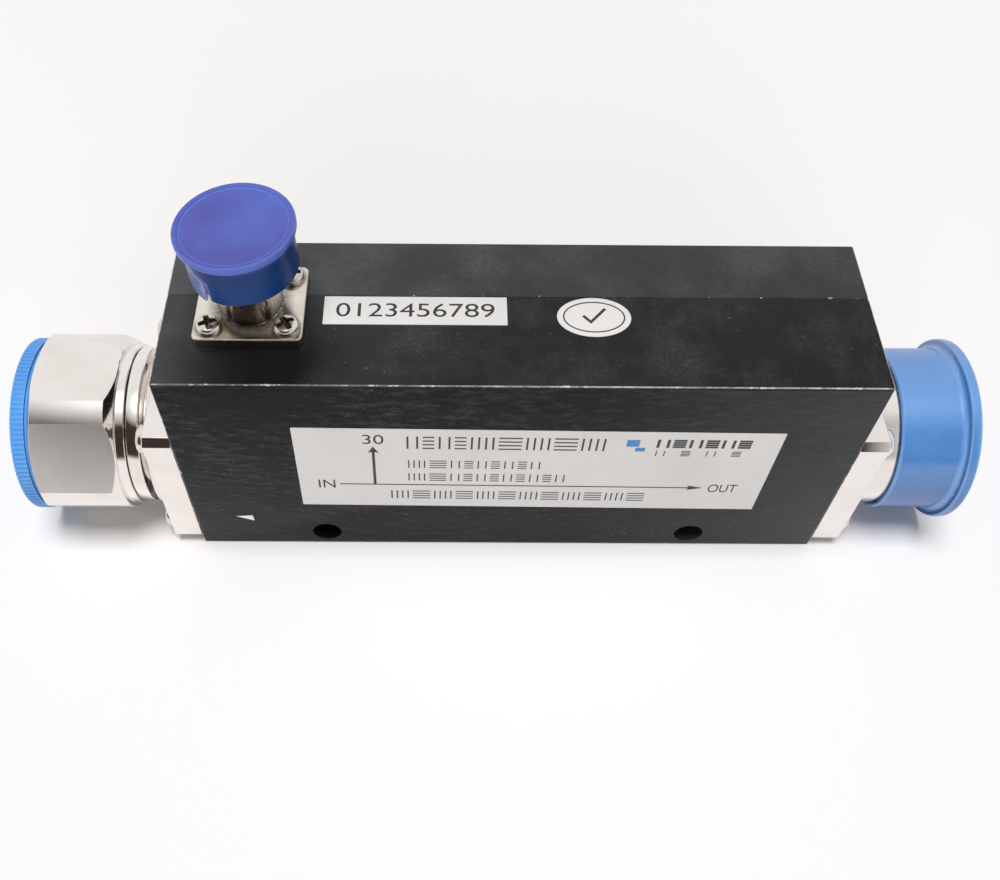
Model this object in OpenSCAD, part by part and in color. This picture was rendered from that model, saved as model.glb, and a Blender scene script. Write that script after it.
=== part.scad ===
// Directional coupler for a base-station feeder: a two-piece block around a coaxial main line, with a
// plug and captive hex nut at the input, a threaded socket at the output and a small coupled port on top.
// Each port wears a push-on dust cap. Millimetres. The origin is the centre of the block's bottom face,
// +X runs from input to output, -Y faces the front label and +Z points to the coupled port.

/* [Block] */
// Length of the block between its end faces
body_l = 119; // [110:1:140]
// Depth of the block, front to back
body_d = 32; // [31:0.5:36]
// Height of the block
body_h = 50; // [47:0.5:60]
// Depth of the front block, from the front face to the seam
front_d = 19.4; // [18.4:0.1:20.4]
// Chamfer on the long edges and along the seam
edge_chamfer = 0.4; // [0.2:0.1:0.8]

/* [Mounting holes] */
// Diameter of the two through holes
mount_hole_d = 5.5; // [4.5:0.1:6]
// Distance between the two holes
mount_hole_spacing = 70; // [60:1:80]
// Height of the holes above the base
mount_hole_h = 4.2; // [4:0.1:5]

/* [Main line] */
// Height of the main line above the base
axis_h = 17.5; // [17.5:0.1:20]
// Bore of the outer conductor
line_bore_d = 16; // [14:0.5:17]
// Diameter of the inner conductor
line_d = 7; // [6:0.1:8]
// Diameter of the conductor where it passes a bead
line_waist_d = 5.5; // [4.5:0.1:5.8]
// Diameter of the insulating beads
bead_d = 19; // [18:0.1:20]
// Thickness of the insulating beads
bead_t = 4; // [3:0.1:4.6]
// Diameter of the studs that join the conductors
stud_d = 3; // [2.5:0.1:4]
// Length of the studs
stud_l = 6; // [4:0.5:8]

/* [Coupled line] */
// Distance from the main conductor's surface to the strip
strip_gap = 6.6; // [5:0.1:7.5]
// Thickness of the strip
strip_t = 1; // [0.6:0.1:1.5]
// Width of the strip's end sections
strip_end_w = 2.6; // [2:0.1:3.4]
// Width of the strip's middle section
strip_mid_w = 4.2; // [3.6:0.1:4.6]
// Length of each of the strip's three sections
strip_section_l = 27; // [22:0.5:28]
// Room between the strip and the pocket's roof
strip_headroom = 6; // [5:0.1:7]
// Distance from the strip's middle line to the pocket's front wall
pocket_reach = 5.5; // [4:0.1:7]
// Distance from the strip's ends to the pocket's end walls
pocket_end_gap = 4; // [2.5:0.1:5]
// Diameter of the load resistor
load_d = 5; // [4:0.1:6]
// Length of the load resistor
load_l = 9; // [7:0.1:9.5]
// Diameter of the load resistor's lead
load_lead_d = 1; // [0.6:0.1:1.4]
// Diameter of the insulating posts above the strip
post_d = 4; // [3:0.1:5]

/* [End flanges] */
// Side of the square flanges at both ends
flange_w = 32; // [31:0.5:33]
// Thickness of the flanges
flange_t = 5.2; // [4.8:0.1:6]
// Chamfer on the flanges' corners
flange_chamfer = 1.3; // [0.6:0.1:2]
// Distance between neighbouring flange screws
flange_screw_spacing = 24.8; // [24.6:0.1:25.4]
// Thread diameter of the flange screws
flange_screw_d = 3; // [2.5:0.1:3.2]
// Length of the flange screws' grip in the block
flange_screw_grip = 6.5; // [4:0.5:7]
// Diameter of the flange screws' heads
flange_head_d = 5.2; // [4.6:0.1:5.3]
// Height of the flange screws' heads
flange_head_h = 1.8; // [1.2:0.1:2.2]

/* [Input plug] */
// Diameter of the round collar on the flange
collar_d = 30.6; // [29:0.1:31]
// Thickness of the collar
collar_t = 1; // [0.6:0.1:1.4]
// Diameter of the groove behind the neck
groove_d = 23; // [22:0.1:24]
// Width of the groove
groove_w = 1.4; // [0.8:0.1:2]
// Diameter of the neck that carries the nut
neck_d = 25; // [24.6:0.1:25.4]
// Length of the neck that shows behind the nut
neck_show_l = 4.1; // [3:0.1:6]
// Outside diameter of the slotted contact sleeve
sleeve_d = 18; // [17.6:0.1:18.4]
// Length of the contact sleeve
sleeve_l = 7; // [6:0.1:7.4]
// Width of the sleeve's slots
sleeve_slot_w = 0.6; // [0.4:0.1:1]
// Diameter of the contact pin
pin_d = 4; // [3.4:0.1:4.4]
// Length of the contact pin
pin_l = 6; // [5:0.1:7]
// Thickness of the sealing ring
seal_t = 1.6; // [1:0.1:2]

/* [Coupling nut] */
// Width of the nut across its flats
nut_af = 32; // [31:0.1:32.4]
// Diameter to which the nut's corners are turned
nut_turned_d = 34.8; // [34.2:0.1:35]
// Length of the nut
nut_l = 15.3; // [14:0.1:17]
// Diameter of the nut's rear face, where its chamfer ends
nut_rear_d = 31.8; // [31:0.1:32.4]
// Angle of the nut's rear chamfer from its face
nut_rear_angle = 43; // [30:1:45]
// Diameter of the nut's front face, where its chamfer ends
nut_front_d = 31.6; // [30.6:0.1:33]
// Angle of the nut's front chamfer from its face
nut_front_angle = 30; // [20:1:45]
// Length of the nut's rear lip, which runs on the neck
nut_lip_l = 5.8; // [5:0.1:6.4]
// Diameter of the nut's threaded mouth
nut_thread_d = 27.4; // [27:0.1:27.8]
// Width of the countersink at the nut's mouth
nut_mouth_chamfer = 0.8; // [0.4:0.1:1]
// Width of the spring ring that keeps the nut
ring_w = 1.3; // [1:0.1:1.6]
// Depth of the spring ring's seat in the neck
ring_seat = 0.6; // [0.4:0.05:0.8]
// Height of the spring ring above the neck
ring_rise = 0.65; // [0.4:0.05:0.7]
// Opening of the spring ring
ring_opening = 3; // [1:0.5:5]

/* [Output socket] */
// Outside diameter of the threaded barrel
barrel_d = 28.8; // [28.4:0.1:29]
// Length of the barrel in front of the flange
barrel_l = 16; // [15:0.1:18]
// Diameter of the barrel's thread relief
relief_d = 26.6; // [26:0.1:27.4]
// Width of the thread relief
relief_w = 1.6; // [1:0.1:2]
// Length of the plain shoulder between flange and relief
shoulder_l = 5; // [4:0.1:5.4]
// Diameter of the mouth that takes the mating sleeve
mouth_d = 18.4; // [18:0.1:19.4]
// Depth of the mouth
mouth_l = 7.6; // [6:0.1:9]
// Distance from the barrel's end back to the centre socket
socket_recess = 2.4; // [1.5:0.1:4]
// Bore of the centre socket
socket_bore_d = 4.1; // [3.6:0.1:4.6]
// Length of the centre socket's slots
socket_slot_l = 7; // [4:0.1:8]
// Width of the centre socket's slots
socket_slot_w = 0.5; // [0.3:0.1:0.8]

/* [Coupled port] */
// Distance from the block's input end to the coupled port
tap_inset = 14.9; // [14:0.1:17]
// Width of the port's flange along the block
tap_flange_w = 18; // [17:0.1:18.6]
// Depth of the port's flange across the block
tap_flange_d = 16.4; // [16:0.1:18]
// Thickness of the port's flange
tap_flange_t = 1.8; // [1.4:0.1:2.4]
// Corner radius of the port's flange
tap_corner_r = 1.1; // [0.6:0.1:1.6]
// Distance between the port's screws along the block
tap_screw_spacing = 12.6; // [12.4:0.1:13.2]
// Distance between the port's screws across the block
tap_screw_rows = 11.2; // [11:0.1:12.4]
// Thread diameter of the port's screws
tap_screw_d = 2.5; // [2:0.1:2.6]
// Length of the port's screws' grip in the block
tap_screw_grip = 5; // [3:0.5:6]
// Diameter of the port's screw heads
tap_head_d = 4.2; // [3.6:0.1:4.4]
// Height of the port's screw heads
tap_head_h = 1.5; // [1:0.1:2]
// Diameter of the port's neck
tap_neck_d = 10.4; // [10:0.1:11.4]
// Length of the port's neck above its flange
tap_neck_l = 7.2; // [6:0.1:8]
// Diameter of the port's thread
tap_thread_d = 15.8; // [15.6:0.05:15.9]
// Length of the port's thread
tap_thread_l = 8.1; // [7:0.1:10]
// Diameter of the port's mouth
tap_mouth_d = 10.8; // [10:0.1:12]
// Depth of the port's mouth
tap_mouth_l = 3.2; // [2:0.1:4]
// Bore of the port's outer conductor
tap_bore_d = 8; // [7.6:0.1:8.4]
// Diameter of the spigot below the flange
tap_spigot_d = 9.6; // [9.2:0.1:10.4]
// Length of the spigot in the block
tap_spigot_l = 6; // [5:0.1:7]
// Bore round the centre contact, from the spigot down to the pocket
tap_line_bore_d = 6.6; // [6:0.1:7]
// Diameter of the port's centre contact
tap_pin_d = 3; // [2.6:0.1:3.4]
// Height of the port's insulator above the block
tap_bead_h = 6; // [5:0.1:8]
// Distance from the barrel's end back to the centre contact
tap_pin_recess = 4.6; // [4:0.1:6]
// Bore of the port's centre contact
tap_pin_bore_d = 1.7; // [1.4:0.1:1.9]
// Width of the contact's slots
tap_pin_slot_w = 0.3; // [0.2:0.05:0.4]
// Length of the contact's slots
tap_pin_slot_l = 3.4; // [2:0.1:4]

/* [Cover screws] */
// Thread diameter of the screws through the rear cover
cover_screw_d = 3; // [2.5:0.1:3.2]
// Diameter of their countersunk heads
cover_head_d = 5.6; // [5:0.1:6]
// Length of their grip in the front block
cover_screw_grip = 7; // [5:0.5:8]
// Distance from the block's end to the upper end screws
upper_screw_inset = 4; // [3.8:0.1:4.4]
// Distance from the block's end to the lower end screws
lower_screw_inset = 12.5; // [11:0.1:14]
// Distance between the two inner screws of a row
inner_screw_spacing = 36; // [30:1:40]
// Distance from the block's top and bottom to the screws
screw_edge_inset = 5; // [4.5:0.1:5.5]

/* [Dust caps] */
// Wall of the output cap's tube
out_cap_wall = 0.75; // [0.6:0.05:1]
// Length of the output cap's tube
out_cap_l = 11.6; // [10:0.1:12.4]
// Diameter of the output cap's rim
out_cap_rim_d = 34.1; // [33:0.1:34.6]
// Thickness of the output cap's rim
out_cap_rim_t = 2; // [1.6:0.1:2.6]
// Diameter of the input cap's ribbed rim
in_cap_rim_d = 32.4; // [31:0.1:33.4]
// Thickness of the input cap's rim
in_cap_rim_t = 2.5; // [2:0.1:3]
// Depth of the ribs on the input cap's rim
in_cap_rib = 0.14; // [0.08:0.02:0.24]
// Diameter of the step behind the input cap's rim
in_cap_step_d = 31.2; // [30:0.1:32]
// Thickness of that step
in_cap_step_t = 0.4; // [0.2:0.1:0.8]
// Length of the input cap's plug
in_cap_plug_l = 6.4; // [5:0.1:7]
// Wall of the input cap's plug
in_cap_wall = 1; // [0.8:0.1:1.4]
// Diameter of the port cap's rim
tap_cap_rim_d = 19.2; // [18.8:0.1:20]
// Thickness of the port cap's rim
tap_cap_rim_t = 1.4; // [1.2:0.1:1.8]
// Wall of the port cap's skirt
tap_cap_wall = 0.55; // [0.45:0.05:0.65]
// Length of the port cap's skirt
tap_cap_skirt_l = 7.3; // [7:0.1:9]
// Tilt of the port cap towards the input
tap_cap_tilt = 3; // [0:0.5:4.5]
// Thickness of the caps' closed ends
cap_end_t = 1.1; // [0.8:0.1:1.4]
// Width of the raised ring round each cap's end
cap_ring_w = 0.9; // [0.6:0.1:1.2]
// Height of the raised ring
cap_ring_h = 0.35; // [0.2:0.05:0.6]
// Width of the split in the port cap's skirt
split_w = 0.6; // [0.3:0.1:1]
// Height of the split's open part
split_l = 4; // [3:0.1:5]
// Direction of the split, from the front towards the input
split_turn = 32; // [25:1:50]
// Width of the tear that runs on from the split to the rim
tear_w = 0.25; // [0.15:0.05:0.4]
// Lean of the tear from upright
tear_lean = 52; // [40:1:56]

/* [Stickers] */
// Thickness of the stickers
sticker_t = 0.15; // [0.1:0.01:0.3]
// Length of the front label
front_label_l = 83.7; // [60:0.1:90]
// Height of the front label
front_label_h = 24.2; // [20:0.1:26]
// Offset of the front label's middle towards the output
front_label_x = 3.4; // [-5:0.1:5]
// Height of the front label's middle above the base
front_label_z = 26; // [24:0.1:30]
// Slant of the front label, lower at the output end
front_label_slant = 0.65; // [0:0.05:1.5]
// Length of the number label
number_label_l = 30.7; // [24:0.1:34]
// Depth of the number label
number_label_d = 6.2; // [5:0.1:8]
// Offset of the number label's middle from the middle of the block
number_label_x = -17.4; // [-19:0.1:-14]
// Length of the oval label
oval_label_l = 12.4; // [10:0.1:16]
// Depth of the oval label
oval_label_d = 8.6; // [7:0.1:10]
// Offset of the oval label's middle towards the output
oval_label_x = 12.4; // [8:0.1:30]

/* [Fits] */
// Radial room of the nut on the neck
running_fit = 0.08; // [0.04:0.01:0.1]
// Radial room of screws, conductors and beads in their holes
seat_fit = 0.05; // [0.02:0.01:0.1]
// Radial room of the output cap on the barrel
cap_fit = 0.1; // [0.08:0.01:0.2]
// Room between a cap's closed end and what it covers
cap_end_gap = 0.3; // [0.2:0.05:0.4]
// Radial room of the input cap's plug in the nut
plug_fit = 0.3; // [0.2:0.05:0.4]
// Room between the tilted port cap and the thread
tilt_gap = 0.15; // [0.1:0.01:0.25]

/* [Hidden] */
$fn = 96;

// Overshoot of a cut past the face it opens
cut = 1;

front_y = -body_d / 2;
back_y = body_d / 2;
seam_y = front_y + front_d;

// Places along the input plug, measured outwards from the block's end
neck_from = flange_t + collar_t + groove_w;
nut_from = neck_from + neck_show_l;
nut_to = nut_from + nut_l;
neck_to = nut_from + nut_lip_l;
sleeve_to = neck_to + sleeve_l;
ring_mid = nut_from + nut_lip_l / 2;
ring_side_room = 0.1;

// Places along the output socket, measured outwards from the block's end
barrel_to = flange_t + barrel_l;
relief_from = flange_t + shoulder_l;
socket_to = barrel_to - socket_recess;

// Places of the coupled line
tap_x = tap_inset - body_l / 2;
strip_z = axis_h + line_d / 2 + strip_gap;
strip_top = strip_z + strip_t;
strip_l = 3 * strip_section_l;
strip_from = tap_x - strip_end_w / 2;
load_x = tap_x + strip_l - strip_end_w;
pocket_from = strip_from - pocket_end_gap;
pocket_l = strip_l + 2 * pocket_end_gap;
pocket_top = strip_top + strip_headroom;
pocket_front = -pocket_reach;

// Places of the coupled port, measured upwards from the block's top
tap_barrel_from = tap_flange_t + tap_neck_l;
tap_barrel_to = tap_barrel_from + tap_thread_l;

// The tilted cap clears the thread's rim at its ceiling, and its skirt's middle is centred on the thread
tilt_sag = tap_thread_d / 2 * sin(tap_cap_tilt);
tap_cap_ceiling = tap_barrel_to + tilt_sag + cap_end_gap;
tilt_shift = tap_cap_skirt_l / 2 * sin(tap_cap_tilt);
tap_cap_inner_r = tap_thread_d / 2 / cos(tap_cap_tilt) + tilt_shift + tilt_gap;
tap_cap_outer_r = tap_cap_inner_r + tap_cap_wall;

rib_count = 110;
sleeve_slots = 3;

// Shares of a rib's pitch at which its flanks start and end
rib_rise_from = 0.15;
rib_rise_to = 0.35;
rib_fall_from = 0.75;
rib_fall_to = 0.95;

// A pan head's outline, as shares of its radius and height
pan_rim_h_share = 0.45;
pan_shoulder_r_share = 0.88;
pan_shoulder_h_share = 0.8;
pan_top_r_share = 0.55;

// Where the split's cut starts, as a share of the port cap's inner radius
split_from_share = 0.6;

// Frames: outwards along +X at either end, upwards at the coupled port
module at_input() {
  translate([-body_l / 2, 0, axis_h]) mirror([1, 0, 0]) children();
}

module at_output() {
  translate([body_l / 2, 0, axis_h]) children();
}

module at_tap() {
  translate([tap_x, 0, body_h]) children();
}

// A revolved solid about X; outline points are radius and distance along X
module turned_x(outline) {
  rotate([0, 90, 0]) rotate_extrude() polygon(outline);
}

module rod_x(d, from, to) {
  translate([from, 0, 0]) rotate([0, 90, 0]) cylinder(d = d, h = to - from);
}

module rod_y(d, from, to) {
  translate([0, from, 0]) rotate([-90, 0, 0]) cylinder(d = d, h = to - from);
}

module rod_z(d, from, to) {
  translate([0, 0, from]) cylinder(d = d, h = to - from);
}

// Four places at the corners of a square that lies across X, or of an oblong across Z
module corners_x(spacing) {
  for (side = [-1, 1], level = [-1, 1])
    translate([0, side * spacing / 2, level * spacing / 2]) children();
}

module corners_z(spacing, rows) {
  for (side = [-1, 1], row = [-1, 1])
    translate([side * spacing / 2, row * rows / 2, 0]) children();
}

// Half outline of a pan-head screw: the head's underside is at 0 and the shank runs below it
module pan_screw(shank_d, head_d, head_h, shank_l) {
  head_r = head_d / 2;
  rotate_extrude()
    polygon([
      [0, -shank_l], [shank_d / 2, -shank_l], [shank_d / 2, 0], [head_r, 0],
      [head_r, head_h * pan_rim_h_share],
      [head_r * pan_shoulder_r_share, head_h * pan_shoulder_h_share],
      [head_r * pan_top_r_share, head_h], [0, head_h]
    ]);
}

// A bar the length of the block with chamfered long edges
module bar(from_y, to_y) {
  c = edge_chamfer;
  rotate([90, 0, 90])
    linear_extrude(height = body_l, center = true)
      polygon([
        [from_y + c, 0], [to_y - c, 0], [to_y, c], [to_y, body_h - c],
        [to_y - c, body_h], [from_y + c, body_h], [from_y, body_h - c], [from_y, c]
      ]);
}

// The places of the cover's screws, on the back face
module cover_screw_places() {
  upper_end = body_l / 2 - upper_screw_inset;
  lower_end = body_l / 2 - lower_screw_inset;
  inner = inner_screw_spacing / 2;
  for (x = [-upper_end, -inner, inner, upper_end])
    translate([x, back_y, body_h - screw_edge_inset]) children();
  for (x = [-lower_end, -inner, inner, lower_end])
    translate([x, back_y, screw_edge_inset]) children();
}

// A countersunk screw with its head flush at y = 0, grown by a fit for its hole
module countersunk_screw(grip, fit) {
  shank_r = cover_screw_d / 2 + fit;
  head_r = cover_head_d / 2 + fit;
  reach = body_d - front_d + grip;
  rotate([90, 0, 0])
    rotate_extrude()
      polygon([[0, 0], [head_r, 0], [shank_r, head_r - shank_r], [shank_r, reach], [0, reach]]);
}

// What is bored through both halves of the block once they are screwed together
module block_bores() {
  translate([0, 0, axis_h])
    rod_x(line_bore_d, -body_l / 2 - cut, body_l / 2 + cut);
  for (side = [-1, 1])
    translate([side * mount_hole_spacing / 2, 0, mount_hole_h])
      rod_y(mount_hole_d, front_y - cut, back_y + cut);
  translate([tap_x, 0, 0]) {
    rod_z(tap_spigot_d + 2 * seat_fit, body_h - tap_spigot_l, body_h + cut);
    rod_z(tap_line_bore_d, pocket_top - cut, body_h);
  }
  screw_hole_d = flange_screw_d + 2 * seat_fit;
  at_input() corners_x(flange_screw_spacing)
    rod_x(screw_hole_d, -flange_screw_grip - cut, cut);
  at_output() corners_x(flange_screw_spacing)
    rod_x(screw_hole_d, -flange_screw_grip - cut, cut);
  at_tap() corners_z(tap_screw_spacing, tap_screw_rows)
    rod_z(tap_screw_d + 2 * seat_fit, -tap_screw_grip - cut, cut);
  cover_screw_places() countersunk_screw(cover_screw_grip + cut, seat_fit);
}

// The black front block, with the pocket that holds the coupled line
module front_block() {
  color([0.13, 0.13, 0.14])
    difference() {
      bar(front_y, seam_y);
      block_bores();
      translate([pocket_from, pocket_front, axis_h])
        cube([pocket_l, seam_y - pocket_front + cut, pocket_top - axis_h]);
      translate([load_x, 0, 0])
        rod_z(load_d + 2 * seat_fit, pocket_top - cut, pocket_top + load_l);
    }
}

// The black rear cover, which closes the block behind the seam
module rear_cover() {
  color([0.14, 0.14, 0.15])
    difference() {
      bar(seam_y, back_y);
      block_bores();
    }
}

// Countersunk screws through the rear cover into the front block
module cover_screws() {
  color([0.2, 0.2, 0.2])
    cover_screw_places() countersunk_screw(cover_screw_grip, 0);
}

// A square flange with chamfered corners, from the block's end outwards
module end_flange() {
  h = flange_w / 2;
  c = flange_chamfer;
  rotate([90, 0, 90])
    linear_extrude(height = flange_t)
      polygon([[c - h, -h], [h - c, -h], [h, c - h], [h, h - c], [h - c, h], [c - h, h], [-h, h - c], [-h, c - h]]);
}

// What is cut out of both end connectors: the line bore, the bead's seat and the screw holes
module end_connector_cuts(line_to) {
  rod_x(line_bore_d, -cut, line_to);
  rod_x(bead_d + 2 * seat_fit, -cut, bead_t);
  corners_x(flange_screw_spacing) {
    rod_x(flange_screw_d + 2 * seat_fit, -cut, flange_t + cut);
    rod_x(flange_head_d + 4 * seat_fit, flange_t, flange_t + flange_head_h + cut);
  }
}

module end_flange_screws() {
  corners_x(flange_screw_spacing)
    translate([flange_t, 0, 0]) rotate([0, 90, 0])
      pan_screw(flange_screw_d, flange_head_d, flange_head_h, flange_t + flange_screw_grip);
}

// An insulating bead, trapped between the block's end and the connector
module end_bead() {
  difference() {
    rod_x(bead_d, 0, bead_t);
    rod_x(line_waist_d + 2 * seat_fit, -cut, bead_t + cut);
  }
}

// The input plug: flange, collar, neck and slotted contact sleeve in one turned piece
module in_connector_body() {
  slot_from = neck_to + seal_t + seat_fit;
  color([0.82, 0.81, 0.79])
    at_input()
      difference() {
        union() {
          end_flange();
          rod_x(collar_d, 0, flange_t + collar_t);
          rod_x(groove_d, 0, neck_from);
          turned_x([
            [0, neck_from], [neck_d / 2, neck_from],
            [neck_d / 2, ring_mid - ring_w / 2 - ring_side_room],
            [neck_d / 2 - ring_seat, ring_mid - ring_w / 2 - ring_side_room],
            [neck_d / 2 - ring_seat, ring_mid + ring_w / 2 + ring_side_room],
            [neck_d / 2, ring_mid + ring_w / 2 + ring_side_room],
            [neck_d / 2, neck_to], [sleeve_d / 2, neck_to], [sleeve_d / 2, sleeve_to], [0, sleeve_to]
          ]);
        }
        end_connector_cuts(sleeve_to + cut);
        for (i = [0 : sleeve_slots - 1])
          rotate([i * 180 / sleeve_slots, 0, 0])
            translate([slot_from, -sleeve_d, -sleeve_slot_w / 2])
              cube([sleeve_to - slot_from + cut, 2 * sleeve_d, sleeve_slot_w]);
      }
}

module in_flange_screws() {
  color([0.7, 0.69, 0.67]) at_input() end_flange_screws();
}

module in_insulator() {
  color([0.95, 0.95, 0.93]) at_input() end_bead();
}

// The input conductor: a stud into the main line, a waist in the bead and the contact pin
module in_centre_pin() {
  tip_r = pin_d / 2;
  color([0.85, 0.83, 0.78])
    at_input() {
      rod_x(stud_d, -stud_l, bead_t);
      rod_x(line_waist_d, 0, bead_t);
      rod_x(line_d, bead_t, neck_to);
      rod_x(pin_d, bead_t, neck_to + pin_l - tip_r);
      translate([neck_to + pin_l - tip_r, 0, 0]) sphere(d = pin_d);
    }
}

// The hex coupling nut, turned at its corners and kept on the neck by the spring ring
module coupling_nut() {
  r = nut_turned_d / 2;
  rear_r = nut_rear_d / 2;
  front_r = nut_front_d / 2;
  groove_half = ring_w / 2 + 2 * ring_side_room;
  color([0.83, 0.82, 0.8])
    at_input()
      difference() {
        intersection() {
          translate([nut_from, 0, 0]) rotate([0, 90, 0]) rotate([0, 0, 30])
            cylinder(d = nut_af / cos(30), h = nut_l, $fn = 6);
          turned_x([
            [0, nut_from], [rear_r, nut_from], [r, nut_from + (r - rear_r) * tan(nut_rear_angle)],
            [r, nut_to - (r - front_r) * tan(nut_front_angle)], [front_r, nut_to], [0, nut_to]
          ]);
        }
        rod_x(neck_d + 2 * running_fit, nut_from - cut, nut_to);
        rod_x(neck_d + 2 * ring_rise + 2 * plug_fit, ring_mid - groove_half, ring_mid + groove_half);
        rod_x(nut_thread_d, neck_to, nut_to + cut);
        turned_x([
          [0, nut_to - nut_mouth_chamfer], [nut_thread_d / 2, nut_to - nut_mouth_chamfer],
          [nut_thread_d / 2 + nut_mouth_chamfer + cut, nut_to + cut], [0, nut_to + cut]
        ]);
      }
}

// The open spring ring in the neck's groove, which reaches into the nut's groove
module nut_spring_ring() {
  color([0.6, 0.6, 0.6])
    at_input()
      difference() {
        rod_x(neck_d + 2 * ring_rise, ring_mid - ring_w / 2, ring_mid + ring_w / 2);
        rod_x(neck_d - 2 * ring_seat + 2 * seat_fit, ring_mid - ring_w, ring_mid + ring_w);
        translate([ring_mid - ring_w, 0, -ring_opening / 2])
          cube([2 * ring_w, neck_d, ring_opening]);
      }
}

// The sealing ring round the contact sleeve, against the neck's end
module in_sealing_ring() {
  color([0.55, 0.16, 0.1])
    at_input()
      difference() {
        rod_x(neck_d - 4 * seat_fit, neck_to, neck_to + seal_t);
        rod_x(sleeve_d + 2 * seat_fit, neck_to - cut, neck_to + seal_t + cut);
      }
}

// The output socket: flange, shoulder, thread relief and threaded barrel in one turned piece
module out_connector_body() {
  color([0.82, 0.81, 0.79])
    at_output()
      difference() {
        union() {
          end_flange();
          rod_x(barrel_d, 0, relief_from);
          rod_x(relief_d, 0, barrel_to - mouth_l);
          turned_x([
            [0, relief_from + relief_w], [relief_d / 2, relief_from + relief_w],
            [barrel_d / 2, relief_from + relief_w + (barrel_d - relief_d) / 2],
            [barrel_d / 2, barrel_to - edge_chamfer], [barrel_d / 2 - edge_chamfer, barrel_to],
            [0, barrel_to]
          ]);
        }
        end_connector_cuts(barrel_to - mouth_l);
        rod_x(mouth_d, barrel_to - mouth_l, barrel_to + cut);
      }
}

module out_flange_screws() {
  color([0.7, 0.69, 0.67]) at_output() end_flange_screws();
}

module out_insulator() {
  color([0.95, 0.95, 0.93]) at_output() end_bead();
}

// The output conductor: a stud into the main line, a waist in the bead and the slotted centre socket
module out_centre_socket() {
  color([0.85, 0.83, 0.78])
    at_output()
      difference() {
        union() {
          rod_x(stud_d, -stud_l, bead_t);
          rod_x(line_waist_d, 0, bead_t);
          rod_x(line_d, bead_t, socket_to);
        }
        rod_x(socket_bore_d, socket_to - socket_slot_l - cut, socket_to + cut);
        for (turn = [45, 135])
          rotate([turn, 0, 0])
            translate([socket_to - socket_slot_l, -line_d, -socket_slot_w / 2])
              cube([socket_slot_l + cut, 2 * line_d, socket_slot_w]);
      }
}

// The inner conductor of the main line, tapped at both ends for the studs
module main_line() {
  half = body_l / 2;
  color([0.85, 0.72, 0.42])
    translate([0, 0, axis_h])
      difference() {
        rod_x(line_d, -half, half);
        for (side = [0, 1])
          mirror([side, 0, 0])
            rod_x(stud_d + 2 * seat_fit, half - stud_l - cut, half + cut);
      }
}

// The coupled line: a strip above the main line, wider in its middle section
module coupled_strip() {
  color([0.85, 0.72, 0.42])
    translate([strip_from, 0, strip_z]) {
      translate([0, -strip_end_w / 2, 0]) cube([strip_l, strip_end_w, strip_t]);
      translate([strip_section_l, -strip_mid_w / 2, 0]) cube([strip_section_l, strip_mid_w, strip_t]);
    }
}

// Insulating posts that hold the strip down from the pocket's roof
module strip_posts() {
  color([0.95, 0.95, 0.93])
    for (third = [1, 2])
      translate([strip_from + third * strip_section_l, 0, 0])
        rod_z(post_d, strip_top, pocket_top);
}

// The resistor that ends the coupled line, with its lead on the strip
module load_resistor() {
  color([0.75, 0.7, 0.6])
    translate([load_x, 0, 0]) {
      rod_z(load_d, pocket_top - seat_fit, pocket_top + load_l - seat_fit);
      rod_z(load_lead_d, strip_top, pocket_top);
    }
}

// The coupled port's body: spigot, oblong flange, neck and threaded barrel in one turned piece
module tap_connector_body() {
  straight_w = tap_flange_w - 2 * tap_corner_r;
  straight_d = tap_flange_d - 2 * tap_corner_r;
  color([0.8, 0.78, 0.74])
    at_tap()
      difference() {
        union() {
          rod_z(tap_spigot_d, -tap_spigot_l, tap_flange_t);
          translate([-tap_flange_w / 2, -straight_d / 2, 0]) cube([tap_flange_w, straight_d, tap_flange_t]);
          translate([-straight_w / 2, -tap_flange_d / 2, 0]) cube([straight_w, tap_flange_d, tap_flange_t]);
          corners_z(straight_w, straight_d) rod_z(2 * tap_corner_r, 0, tap_flange_t);
          rod_z(tap_neck_d, 0, tap_barrel_from);
          rod_z(tap_thread_d, tap_barrel_from, tap_barrel_to);
        }
        rod_z(tap_bore_d, -tap_spigot_l - cut, tap_barrel_to + cut);
        rod_z(tap_mouth_d, tap_barrel_to - tap_mouth_l, tap_barrel_to + cut);
        corners_z(tap_screw_spacing, tap_screw_rows)
          rod_z(tap_screw_d + 2 * seat_fit, -cut, tap_flange_t + cut);
      }
}

module tap_flange_screws() {
  color([0.75, 0.73, 0.7])
    at_tap() corners_z(tap_screw_spacing, tap_screw_rows)
      translate([0, 0, tap_flange_t])
        pan_screw(tap_screw_d, tap_head_d, tap_head_h, tap_flange_t + tap_screw_grip);
}

module tap_insulator() {
  color([0.95, 0.95, 0.93])
    at_tap()
      difference() {
        rod_z(tap_bore_d - 2 * seat_fit, -tap_spigot_l, tap_bead_h);
        rod_z(tap_pin_d + 2 * seat_fit, -tap_spigot_l - cut, tap_bead_h + cut);
      }
}

// The coupled port's centre contact, from the strip up to its slotted socket
module tap_centre_socket() {
  pin_top = body_h + tap_barrel_to - tap_pin_recess;
  color([0.85, 0.72, 0.42])
    translate([tap_x, 0, 0])
      difference() {
        rod_z(tap_pin_d, strip_top, pin_top);
        rod_z(tap_pin_bore_d, pin_top - tap_pin_slot_l - cut, pin_top + cut);
        for (turn = [45, 135])
          rotate([0, 0, turn])
            translate([-tap_pin_d, -tap_pin_slot_w / 2, pin_top - tap_pin_slot_l])
              cube([2 * tap_pin_d, tap_pin_slot_w, tap_pin_slot_l + cut]);
      }
}

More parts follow.
